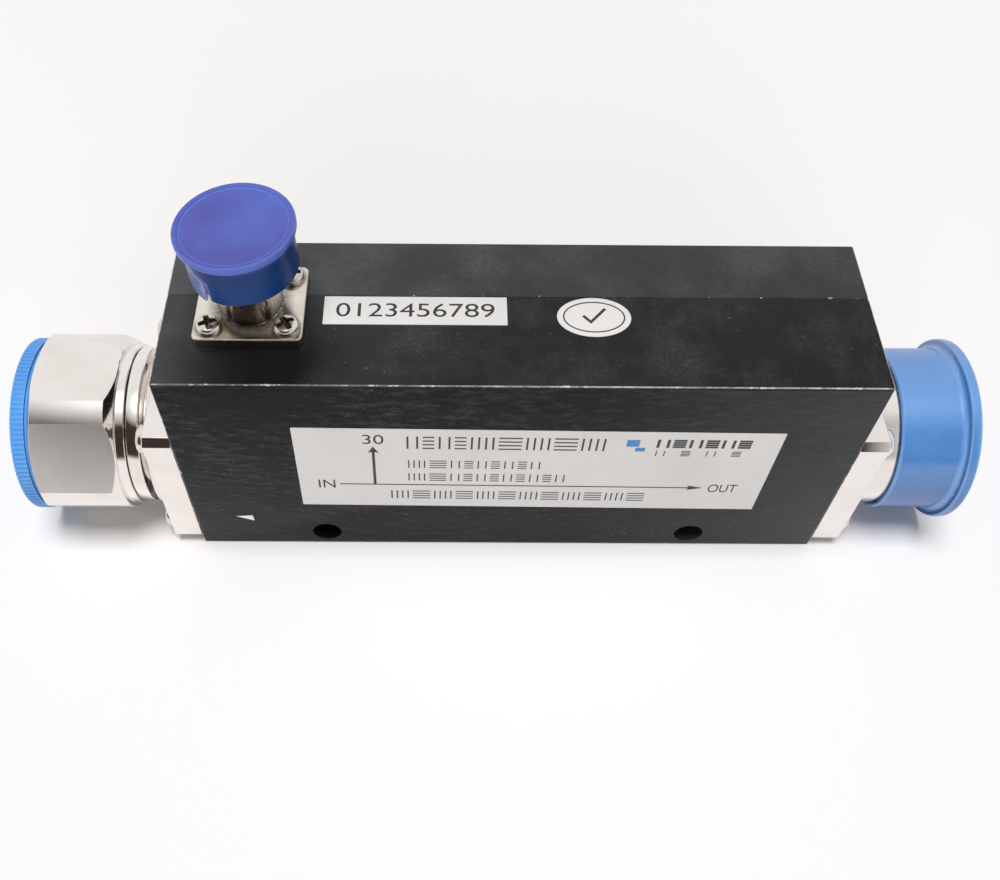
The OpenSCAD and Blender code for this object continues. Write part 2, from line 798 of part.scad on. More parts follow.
// A disc about X with fine ribs round its edge
module ribbed_disc_x(d, thickness) {
  step = 360 / rib_count;
  outer_r = d / 2;
  inner_r = d / 2 - in_cap_rib;
  rotate([90, 0, 90])
    linear_extrude(height = thickness)
      polygon([
        for (i = [0 : rib_count - 1])
          for (point = [
            [inner_r, rib_rise_from], [outer_r, rib_rise_to], [outer_r, rib_fall_from], [inner_r, rib_fall_to]
          ])
            point[0] * [cos((i + point[1]) * step), sin((i + point[1]) * step)]
      ]);
}

// The input cap: a hollow plug in the nut's mouth under a ribbed rim
module in_cap() {
  plug_r = nut_thread_d / 2 - plug_fit;
  step_from = nut_to + 2 * seat_fit;
  rim_from = step_from + in_cap_step_t;
  rim_to = rim_from + in_cap_rim_t;
  color([0.22, 0.53, 0.86])
    at_input()
      difference() {
        union() {
          rod_x(2 * plug_r, nut_to - in_cap_plug_l, rim_from);
          rod_x(in_cap_step_d, step_from, rim_from + cut);
          translate([rim_from, 0, 0]) ribbed_disc_x(in_cap_rim_d, in_cap_rim_t);
        }
        rod_x(2 * (plug_r - in_cap_wall), nut_to - in_cap_plug_l - cut, rim_to - cap_ring_h - cap_end_t);
        rod_x(in_cap_rim_d - 4 * cap_ring_w, rim_to - cap_ring_h, rim_to + cut);
      }
}

// The output cap: a thin tube over the barrel with a wide rim at its closed end
module out_cap() {
  inner_r = barrel_d / 2 + cap_fit;
  outer_r = inner_r + out_cap_wall;
  rim_from = barrel_to + cap_end_gap;
  rim_to = rim_from + out_cap_rim_t;
  color([0.3, 0.57, 0.85])
    at_output()
      difference() {
        union() {
          rod_x(2 * outer_r, rim_from - out_cap_l, rim_to);
          rod_x(out_cap_rim_d, rim_from, rim_to);
        }
        rod_x(2 * inner_r, rim_from - out_cap_l - cut, rim_from);
        rod_x(2 * inner_r - 2 * cap_ring_w, rim_from + cap_end_t, rim_to + cut);
      }
}

// The port's cap: a thin skirt over the thread under a wider disc, tilted and split as it was found
module tap_cap() {
  rim_r = tap_cap_rim_d / 2;
  disc_to = cap_end_t + cap_ring_h;
  tear_from = split_l - tap_cap_skirt_l;
  tear_l = (disc_to - tap_cap_rim_t - tear_from) / cos(tear_lean);
  wall_reach = tap_cap_inner_r * split_from_share;
  color([0.14, 0.3, 0.68])
    at_tap() translate([-tilt_shift, 0, tap_cap_ceiling]) rotate([0, -tap_cap_tilt, 0])
      difference() {
        union() {
          rod_z(2 * tap_cap_outer_r, -tap_cap_skirt_l, disc_to);
          rod_z(2 * rim_r, disc_to - tap_cap_rim_t, disc_to);
        }
        rod_z(2 * tap_cap_inner_r, -tap_cap_skirt_l - cut, 0);
        rod_z(2 * rim_r - 2 * cap_ring_w, cap_end_t, disc_to + cut);
        rotate([0, 0, -90 - split_turn]) {
          translate([wall_reach, -split_w / 2, -tap_cap_skirt_l - cut])
            cube([tap_cap_outer_r, split_w, split_l + cut]);
          translate([wall_reach, 0, tear_from]) rotate([tear_lean, 0, 0])
            translate([0, -tear_w / 2, -tear_w])
              cube([tap_cap_outer_r, tear_w, tear_l + tear_w]);
        }
      }
}

// A sheet of sticker stock in the front face's plane
module front_label() {
  color([0.88, 0.86, 0.86])
    translate([front_label_x, front_y, front_label_z])
      rotate([90, 0, 0]) rotate([0, 0, -front_label_slant])
        linear_extrude(height = sticker_t)
          square([front_label_l, front_label_h], center = true);
}

// The number label lies on top, with its back edge along the seam
module number_label() {
  color([0.88, 0.86, 0.85])
    translate([number_label_x - number_label_l / 2, seam_y - edge_chamfer - number_label_d, body_h])
      cube([number_label_l, number_label_d, sticker_t]);
}

// The oval label lies on top, with its back against the seam
module oval_label() {
  color([0.88, 0.86, 0.85])
    translate([oval_label_x, seam_y - edge_chamfer - oval_label_d / 2, body_h])
      linear_extrude(height = sticker_t)
        polygon([
          for (turn = [0 : 5 : 355])
            [oval_label_l / 2 * cos(turn), oval_label_d / 2 * sin(turn)]
        ]);
}

front_block();
rear_cover();
cover_screws();
in_connector_body();
in_flange_screws();
in_insulator();
in_centre_pin();
coupling_nut();
nut_spring_ring();
in_sealing_ring();
out_connector_body();
out_flange_screws();
out_insulator();
out_centre_socket();
main_line();
coupled_strip();
strip_posts();
load_resistor();
tap_connector_body();
tap_flange_screws();
tap_insulator();
tap_centre_socket();
in_cap();
out_cap();
tap_cap();
front_label();
number_label();
oval_label();
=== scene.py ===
"""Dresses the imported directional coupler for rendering.

The CAD frame is loaded as it is. Each sub-assembly is a class that works out its surfaces with numpy, in
millimetres, and dresses them with procedural finishes. Meshes go into Blender in metres, at their place.
"""

import logging
import math
from dataclasses import dataclass
from enum import Enum
from typing import Any

import bpy
import numpy as np
from mathutils import Matrix

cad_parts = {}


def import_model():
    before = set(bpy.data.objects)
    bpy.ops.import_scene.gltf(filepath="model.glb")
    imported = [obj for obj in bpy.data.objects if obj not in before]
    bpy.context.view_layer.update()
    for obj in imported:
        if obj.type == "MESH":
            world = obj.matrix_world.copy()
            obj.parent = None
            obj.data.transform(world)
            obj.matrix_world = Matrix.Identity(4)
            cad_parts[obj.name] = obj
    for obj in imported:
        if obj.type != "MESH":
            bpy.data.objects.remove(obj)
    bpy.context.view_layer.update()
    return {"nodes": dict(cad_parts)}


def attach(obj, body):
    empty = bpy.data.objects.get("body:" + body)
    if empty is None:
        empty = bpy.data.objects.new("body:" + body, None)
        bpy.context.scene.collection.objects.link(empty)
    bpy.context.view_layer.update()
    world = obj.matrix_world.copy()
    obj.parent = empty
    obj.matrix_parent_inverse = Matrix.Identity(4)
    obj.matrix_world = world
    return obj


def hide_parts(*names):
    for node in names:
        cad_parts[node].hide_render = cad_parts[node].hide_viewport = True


LOG = logging.getLogger("coupler")
MM = 0.001
# the point mark: wear, dirt, strain and turned faces, as well as painted shade and painted highlights
POINT_MARK = "point_mark"
FULL_TURN = 2 * math.pi
WELD_STEPS = 1e5
CREASE = 30.0
LINE_HEIGHT = 17.5

Array = np.ndarray
Colour = tuple[float, float, float]
Corner = tuple[float, float, float]
Pair = tuple[float, float]
Socket = bpy.types.NodeSocket
Material = bpy.types.Material


@dataclass
class Axes:
    """A right-handed frame: an axis that a piece is turned or laid on, and a direction across it."""

    origin: Array
    along: Array
    across: Array

    @classmethod
    def at(cls, origin: Corner, along: Corner, across: Corner) -> "Axes":
        """A frame from plain numbers."""
        return cls(np.array(origin, float), np.array(along, float), np.array(across, float))

    @property
    def third(self) -> Array:
        """The direction square to both axes."""
        return np.cross(self.along, self.across)

    def point(self, a: Any, b: Any, c: Any) -> Array:
        """Points at distances a, b and c along the three directions.

        Args:
            a: Distances along the axis, as a number or an array.
            b: Distances across it.
            c: Distances in the third direction.

        Returns:
            An array of places with one more dimension than the distances.
        """
        a, b, c = np.broadcast_arrays(np.asarray(a, float), b, c)
        return (
            self.origin + a[..., None] * self.along + b[..., None] * self.across + c[..., None] * self.third
        )

    def moved(self, a: float, b: float, c: float) -> "Axes":
        """The same directions at another origin."""
        return Axes(self.point(a, b, c), self.along, self.across)


@dataclass
class Surface:
    """Points in millimetres, faces as arrays of equal corner count, and a mark from 0 to 1 on each point."""

    points: Array
    faces: list[Array]
    marks: Array

    @staticmethod
    def joined(parts: list["Surface"]) -> "Surface":
        """One surface that holds all the parts.

        Args:
            parts: The surfaces to join.

        Returns:
            Their points, faces and marks, one after another.
        """
        faces: list[Array] = []
        shift = 0
        for part in parts:
            faces += [group + shift for group in part.faces]
            shift += len(part.points)
        return Surface(
            np.vstack([part.points for part in parts]), faces, np.concatenate([part.marks for part in parts])
        )

    def welded(self) -> "Surface":
        """Merges points at one place and drops the faces that vanish with them.

        Places are the same if they round to the same weld step, of which there are many to a millimetre.

        Returns:
            The closed surface: a quad that lost one corner becomes a triangle.
        """
        keys = np.round(self.points * WELD_STEPS).astype(np.int64)
        _, first, back = np.unique(keys, axis=0, return_index=True, return_inverse=True)
        back = back.reshape(-1)
        faces: list[Array] = []
        for group in self.faces:
            named = back[group]
            if named.shape[1] != 4:
                faces.append(named)
                continue
            same = named == np.roll(named, -1, axis=1)
            lost = same.sum(axis=1)
            crossed = (named[:, 0] == named[:, 2]) | (named[:, 1] == named[:, 3])
            faces.append(named[(lost == 0) & ~crossed])
            pinched = (lost == 1) & ~crossed
            faces.append(named[pinched][~same[pinched]].reshape(-1, 3))
        return Surface(self.points[first], [group for group in faces if len(group)], self.marks[first])

    def marked(self, share: float) -> "Surface":
        """The same surface with its marks scaled."""
        return Surface(self.points, self.faces, self.marks * share)


def sheet(points: Array, marks: Array | None = None) -> Surface:
    """Quads over a grid of points; they face along the column step times the row step.

    Args:
        points: Rows by columns by three.
        marks: Rows by columns, or nothing for zero.

    Returns:
        The open grid as a surface.
    """
    rows, columns, _ = points.shape
    index = np.arange(rows * columns).reshape(rows, columns)
    quads = np.stack((index[:-1, :-1], index[:-1, 1:], index[1:, 1:], index[1:, :-1]), axis=-1).reshape(-1, 4)
    values = np.zeros((rows, columns)) if marks is None else np.broadcast_to(marks, (rows, columns))
    return Surface(points.reshape(-1, 3), [quads], values.reshape(-1).copy())


def arcs(corners: list[Corner], closed: bool, steps: int = 4) -> tuple[Array, Array]:
    """A line through corners, each drawn as an arc of its own radius.

    An arc of radius r at a corner of inner angle f starts r / tan(f / 2) before the corner, and its centre
    lies r / sin(f / 2) from it along the bisector.

    Args:
        corners: Two coordinates and the arc's radius, 0 for a sharp corner.
        closed: Whether the last corner runs back to the first.
        steps: Straight steps to an arc.

    Returns:
        The points, and marks that are 1 in the middle of an arc.
    """
    places = np.array(corners, float)[:, :2]
    points: list[Array] = []
    marks: list[Array] = []
    share = np.linspace(0, 1, steps + 1)
    for i, (_, _, radius) in enumerate(corners):
        here = places[i]
        if radius <= 0 or (not closed and i in (0, len(corners) - 1)):
            points.append(here[None])
            marks.append(np.zeros(1))
            continue
        back = places[i - 1] - here
        ahead = places[(i + 1) % len(corners)] - here
        back /= np.linalg.norm(back)
        ahead /= np.linalg.norm(ahead)
        half = math.acos(float(np.clip(back @ ahead, -1, 1))) / 2
        bisector = (back + ahead) / np.linalg.norm(back + ahead)
        centre = here + bisector * radius / math.sin(half)
        start = here + back * radius / math.tan(half) - centre
        stop = here + ahead * radius / math.tan(half) - centre
        turn = math.pi - 2 * half
        weights = np.sin(np.stack((1 - share, share), axis=1) * turn) / math.sin(turn)
        points.append(centre + weights[:, :1] * start + weights[:, 1:] * stop)
        marks.append(np.sin(math.pi * share))
    return np.vstack(points), np.concatenate(marks)


def ring_angles(count: int) -> Array:
    """Angles round a full turn, with the first one repeated at the end."""
    return np.linspace(0, FULL_TURN, count + 1)


def revolve(corners: list[Corner], axes: Axes, count: int = 128) -> Surface:
    """A profile turned about the axis: each point is axis + radius times (cos, sin) of the angle.

    Args:
        corners: Distance along the axis, radius and corner arc; the profile runs along the axis outside.
        axes: The turning axis.
        count: Columns in a full turn.

    Returns:
        The turned surface, open where the profile is open.
    """
    profile, marks = arcs(corners, closed=False)
    angle = ring_angles(count)
    along = profile[:, :1]
    radius = profile[:, 1:]
    points = axes.point(along, radius * np.cos(angle), radius * np.sin(angle))
    return sheet(points, marks[:, None])


def outward(outline: Array) -> Array:
    """Mitre vectors of a closed outline: the sum of both edge normals over one plus their product.

    Args:
        outline: Points, counter-clockwise.

    Returns:
        A vector to each point; times a distance, it moves the outline out by that much.
    """
    edge = np.roll(outline, -1, axis=0) - outline
    edge /= np.linalg.norm(edge, axis=1)[:, None]
    normal = np.stack((edge[:, 1], -edge[:, 0]), axis=1)
    before = np.roll(normal, 1, axis=0)
    return (normal + before) / (1 + (normal * before).sum(axis=1))[:, None]


def pin(axes: Axes, start: float, stop: float, radius: float, count: int) -> Surface:
    """A closed plain cylinder from start to stop along the axis."""
    profile = [(start, 0, 0), (start, radius, 0), (stop, radius, 0), (stop, 0, 0)]
    return revolve(profile, axes, count).welded()


def bored(outline: Array, radius: float) -> Array:
    """A round hole with a point at the angle of each of the outline's points."""
    angle = np.arctan2(outline[:, 1], outline[:, 0])
    return radius * np.stack((np.cos(angle), np.sin(angle)), axis=1)


def prism(
    outline: Array,
    axes: Axes,
    low: float,
    high: float,
    rounding: float = 0.0,
    hole: Array | None = None,
    corner_marks: Array | None = None,
) -> Surface:
    """A plate: an outline carried along the axis, drawn in along a quarter circle at both faces.

    At edge angle t the outline is drawn in by rounding * (1 - sin t) at rounding * (1 - cos t) from the face.

    Args:
        outline: Points across the axis, counter-clockwise.
        axes: The plate's frame.
        low: Where the plate starts along the axis.
        high: Where it ends.
        rounding: Radius of both edges.
        hole: An inner outline with as many points, for a plate with a hole.
        corner_marks: Marks of the outline's own corners.

    Returns:
        The closed plate.
    """
    quarter = np.linspace(0, math.pi / 2, 5)
    rise = rounding * (1 - np.cos(quarter))
    inset = rounding * (1 - np.sin(quarter))
    heights = np.concatenate((low + rise, high - rise[::-1]))
    insets = np.concatenate((inset, inset[::-1]))
    edge = np.sin(2 * quarter) if rounding else np.zeros(5)
    edges = np.concatenate((edge, edge[::-1]))
    corner = np.zeros(len(outline)) if corner_marks is None else corner_marks
    loops = outline[None] - insets[:, None, None] * outward(outline)[None]
    marks = np.maximum(edges[:, None], corner[None])
    if hole is not None:
        loops = np.concatenate((hole[None], loops, hole[None], hole[None]))
        heights = np.concatenate(([low], heights, [high], [low]))
        marks = np.pad(marks, ((1, 2), (0, 0)))
    loops = np.concatenate((loops, loops[:, :1]), axis=1)
    marks = np.concatenate((marks, marks[:, :1]), axis=1)
    wall = sheet(axes.point(heights[:, None], loops[..., 0], loops[..., 1]), marks)
    if hole is None:
        columns = len(outline)
        top = (len(heights) - 1) * (columns + 1) + np.arange(columns)
        wall.faces += [top[None], np.arange(columns)[::-1][None]]
    return wall.welded()


def helix(
    axes: Axes, crest: float, root: float, pitch: float, start: float, stop: float, count: int
) -> Surface:
    """A right-hand thread whose rows follow the helix.

    A row's place along the axis is start + pitch * (phase + angle / full turn), held between start and stop,
    and its radius goes from root to crest as a trapezoid of the phase that fades over one pitch at each end.

    Args:
        axes: The thread's axis.
        crest: Radius of the ridges.
        root: Radius of the valleys, which both ends keep.
        pitch: Distance between ridges.
        start: Where the thread starts along the axis.
        stop: Where it ends.
        count: Columns in a full turn.

    Returns:
        The open threaded surface.
    """
    steps = 10
    angle = ring_angles(count)
    phase = np.arange(-steps, math.ceil((stop - start) / pitch * steps) + 1) / steps
    along = np.clip(start + pitch * (phase[:, None] + angle[None] / FULL_TURN), start, stop)
    ridge = np.clip(np.abs(phase % 1 * 2 - 1) * 1.35 - 0.2, 0, 1)[:, None]
    ends = np.clip((along - start) / pitch, 0, 1) * np.clip((stop - along) / pitch, 0, 1)
    radius = root + (crest - root) * ridge * ends
    return sheet(axes.point(along, radius * np.cos(angle), radius * np.sin(angle)), ridge * ends * 0.5)


def eased(before: Array, here: Array, after: Array, reach: float) -> list[Array]:
    """Five rows of a quadratic curve that rounds a crease between two straight runs.

    A row is first * (1 - t)^2 + crease * 2 t (1 - t) + last * t^2, where first and last lie that far from
    the crease on the two runs.

    Args:
        before: Where the first run starts, as rows of places along the axis and of radii.
        here: The crease.
        after: Where the second run ends.
        reach: How far from the crease the curve starts and stops.

    Returns:
        The rows, from the first run to the second.
    """
    back = (before - here) / np.linalg.norm(before - here, axis=0)
    ahead = (after - here) / np.linalg.norm(after - here, axis=0)
    first, last = here + back * reach, here + ahead * reach
    return [first * (1 - t) ** 2 + here * 2 * t * (1 - t) + last * t**2 for t in np.linspace(0, 1, 5)]


def inside_out(surface: Surface) -> Surface:
    """The same surface facing the other way."""
    return Surface(surface.points, [group[:, ::-1] for group in surface.faces], surface.marks)


def tube_sector(
    axes: Axes, radii: Pair, ends: Pair, turn: Pair
) -> Surface:
    """A piece of a tube: its oblong section carried round part of a turn, with both ends closed.

    Args:
        axes: The tube's axis.
        radii: Inner and outer radius.
        ends: Where it starts and stops along the axis.
        turn: First and last angle.

    Returns:
        The closed piece.
    """
    inner, outer = radii
    low, high = ends
    angle = np.linspace(*turn, 17)
    along = np.array([low, high, high, low, low])[:, None]
    radius = np.array([outer, outer, inner, inner, outer])[:, None]
    piece = sheet(axes.point(along, radius * np.cos(angle), radius * np.sin(angle)))
    first = np.arange(4) * len(angle)
    piece.faces += [first[None], (first + len(angle) - 1)[::-1][None]]
    return piece.welded()


def cross_head(
    axes: Axes,
    radius: float,
    height: float,
    rim: float,
    arm: float = 0.19,
    reach: float = 0.7,
    depth: float = 0.9,
) -> Surface:
    """A screw head with a cross recess, on a grid of p and q from -1 to 1.

    The square is drawn to a disc by x = p * sqrt(1 - q^2 / 2) and y = q * sqrt(1 - p^2 / 2). The top falls
    from its height to the rim as sqrt(1 - r^4), and inside either arm of the cross it is sunk and marked for
    painted shade in the recess.

    Args:
        axes: The head's frame, from the face that it sits on.
        radius: Radius of the head.
        height: Height of its middle.
        rim: Height of its rim.
        arm: Half width of an arm, as a share of the radius.
        reach: Half length of an arm, as a share of the radius.
        depth: Depth of the recess.

    Returns:
        The closed head.
    """
    slope = 0.05
    edges = np.array([arm - slope, arm + slope, reach - slope, reach + slope])
    lines = np.unique(np.concatenate((np.linspace(-1, 1, 25), edges, -edges)))
    p, q = np.meshgrid(lines, lines)
    x = p * np.sqrt(1 - q**2 / 2)
    y = q * np.sqrt(1 - p**2 / 2)
    far = np.clip(np.hypot(x, y), 0, 1)
    high = np.maximum(np.abs(p), np.abs(q))
    near = np.minimum(np.abs(p), np.abs(q))
    inside = (near < arm) & (high < reach)
    sink = depth * inside * (1 - 0.5 * high / reach)
    top = rim + (height - rim) * np.sqrt(1 - far**4) - sink
    # the mark inside the recess drives painted shade in the screw finishes
    head = sheet(axes.point(top, radius * x, radius * y), inside * 1.0)
    ring_x = np.concatenate((x[0], x[1:, -1], x[-1, -2::-1], x[-2::-1, 0]))
    ring_y = np.concatenate((y[0], y[1:, -1], y[-1, -2::-1], y[-2::-1, 0]))
    foot = np.array([0.0, rim])[:, None]
    wall = sheet(axes.point(foot, radius * ring_x[None], radius * ring_y[None]))
    wall.faces.append(np.arange(len(ring_x) - 1)[::-1][None])
    return Surface.joined([head, wall]).welded()


def placing(across: Array, above: Array, back: Array, place: Array) -> Matrix:
    """A matrix from three directions and a place in metres."""
    rows = np.column_stack((across, above, back, place)).tolist()
    return Matrix([*rows, [0, 0, 0, 1]])


def lettering(text: str, axes: Axes, centre: Pair, size: Pair, thick: float) -> Surface:
    """Plain letters, made a mesh and drawn to a width and height on a sheet.

    Args:
        text: The letters.
        axes: The sheet's frame.
        centre: Middle of the line of letters on the sheet.
        size: Width and height of the line.
        thick: Thickness of the ink.

    Returns:
        The closed letters.
    """
    curve = bpy.data.curves.new("letters", "FONT")
    curve.body = text
    curve.extrude = 0.5
    holder = bpy.data.objects.new("letters", curve)
    bpy.context.scene.collection.objects.link(holder)
    mesh = bpy.data.meshes.new_from_object(holder.evaluated_get(bpy.context.evaluated_depsgraph_get()))
    mesh.calc_loop_triangles()
    flat = np.zeros(len(mesh.vertices) * 3, np.float32)
    mesh.vertices.foreach_get("co", flat)
    triangles = np.zeros(len(mesh.loop_triangles) * 3, np.int32)
    mesh.loop_triangles.foreach_get("vertices", triangles)
    bpy.data.objects.remove(holder)
    bpy.data.curves.remove(curve)
    bpy.data.meshes.remove(mesh)
    places = flat.reshape(-1, 3).astype(float)
    low = places.min(axis=0)
    unit = (places - low) / (places.max(axis=0) - low)
    across = centre[0] + (unit[:, 0] - 0.5) * size[0]
    up = centre[1] + (unit[:, 1] - 0.5) * size[1]
    points = axes.point(unit[:, 2] * thick, across, up)
    return Surface(points, [triangles.reshape(-1, 3).astype(np.int64)], np.zeros(len(points)))


class NodeBench:
    """Adds nodes to one node tree."""

    def __init__(self, tree: bpy.types.NodeTree) -> None:
        """Works on that tree."""
        self.nodes = tree.nodes
        self.links = tree.links

    def feed(self, socket: Socket, value: Any) -> None:
        """Links another node's output to a socket, or sets the socket's own value.

        Args:
            socket: The socket to feed.
            value: An output or a plain value.
        """
        if isinstance(value, Socket):
            self.links.new(value, socket)
        else:
            socket.default_value = value

    def add(self, kind: str, values: dict[Any, Any], **settings: Any) -> bpy.types.Node:
        """Adds a node.

        Args:
            kind: The node's type without its common first part.
            values: Sockets by name or place, with a value or another node's output.
            **settings: The node's own settings.

        Returns:
            The node.
        """
        node = self.nodes.new("ShaderNode" + kind)
        for name, setting in settings.items():
            setattr(node, name, setting)
        for socket, value in values.items():
            self.feed(node.inputs[socket], value)
        return node

    def ramp(self, value: Any, start: float, stop: float, low: float = 0.0, high: float = 1.0) -> Socket:
        """Takes start..stop to low..high, held at both ends."""
        values = {"Value": value, "From Min": start, "From Max": stop, "To Min": low, "To Max": high}
        return self.add("MapRange", values).outputs["Result"]

    def vector(self, step: str, first: Any, second: Any = (0, 0, 0), output: str = "Vector") -> Socket:
        """One step of vector arithmetic, whose output is a vector or a plain value."""
        return self.add("VectorMath", {0: first, 1: second}, operation=step).outputs[output]

    def math(self, step: str, first: Any, second: Any = 0.0) -> Socket:
        """One step of arithmetic on varying values."""
        return self.add("Math", {0: first, 1: second}, operation=step).outputs["Value"]

    def times(self, *values: Any) -> Socket:
        """The product of varying values.

        Args:
            *values: Outputs or numbers.

        Returns:
            The product as an output.
        """
        product = values[0]
        for value in values[1:]:
            product = self.math("MULTIPLY", product, value)
        return product

    def most(self, *values: Any) -> Socket:
        """The largest of varying values.

        Args:
            *values: Outputs or numbers.

        Returns:
            The largest one as an output.
        """
        largest = values[0]
        for value in values[1:]:
            largest = self.math("MAXIMUM", largest, value)
        return largest

    def mix(self, share: Socket, first: Any, second: Any) -> Socket:
        """Colour from first to second by a varying share.

        Args:
            share: Share of the second colour.
            first: A colour or an output.
            second: A colour or an output.

        Returns:
            The mixed colour as an output.
        """
        first = (*first, 1) if isinstance(first, tuple) else first
        second = (*second, 1) if isinstance(second, tuple) else second
        return self.add("Mix", {0: share, 6: first, 7: second}, data_type="RGBA").outputs[2]


class Bench(NodeBench):
    """Builds one node material round its Principled shader."""

    def __init__(self, name: str) -> None:
        """Makes an empty material.

        Args:
            name: The material's name.
        """
        self.material = bpy.data.materials.new(name)
        self.material.use_nodes = True
        super().__init__(self.material.node_tree)
        self.shader = self.nodes["Principled BSDF"]
        self.place = self.nodes.new("ShaderNodeTexCoord").outputs["Object"]

    def surface(self, **values: Any) -> None:
        """Sets the shader's sockets; an underscore in a name stands for a space."""
        for name, value in values.items():
            self.feed(self.shader.inputs[name.replace("_", " ")], value)

    def along(self, axis: str) -> Socket:
        """One Object coordinate, in metres."""
        return self.add("SeparateXYZ", {0: self.place}).outputs[axis]

    def stretched(self, scale: Corner) -> Socket:
        """Object coordinates scaled by each axis."""
        return self.add("Mapping", {"Vector": self.place, "Scale": scale}).outputs["Vector"]

    def noise(
        self, scale: float, detail: float = 2.0, place: Socket | None = None, rough: float = 0.5
    ) -> Socket:
        """Soft noise of that many cells to the metre."""
        values = {"Vector": place or self.place, "Scale": scale, "Detail": detail, "Roughness": rough}
        return self.add("TexNoise", values).outputs["Fac"]

    def mark(self) -> Socket:
        """The mark on the piece's own points."""
        return self.add("Attribute", {}, attribute_name=POINT_MARK).outputs["Fac"]

    def bump(self, height: Socket, depth_mm: float, under: Any = None) -> Socket:
        """A normal that follows a height.

        Args:
            height: Height from 0 to 1.
            depth_mm: What a height of 1 stands for.
            under: Another bump's normal, which this one adds to.

        Returns:
            The normal as an output.
        """
        values: dict[Any, Any] = {"Height": height, "Distance": depth_mm * MM, "Strength": 1.0}
        if under is not None:
            values["Normal"] = under
        return self.add("Bump", values).outputs["Normal"]


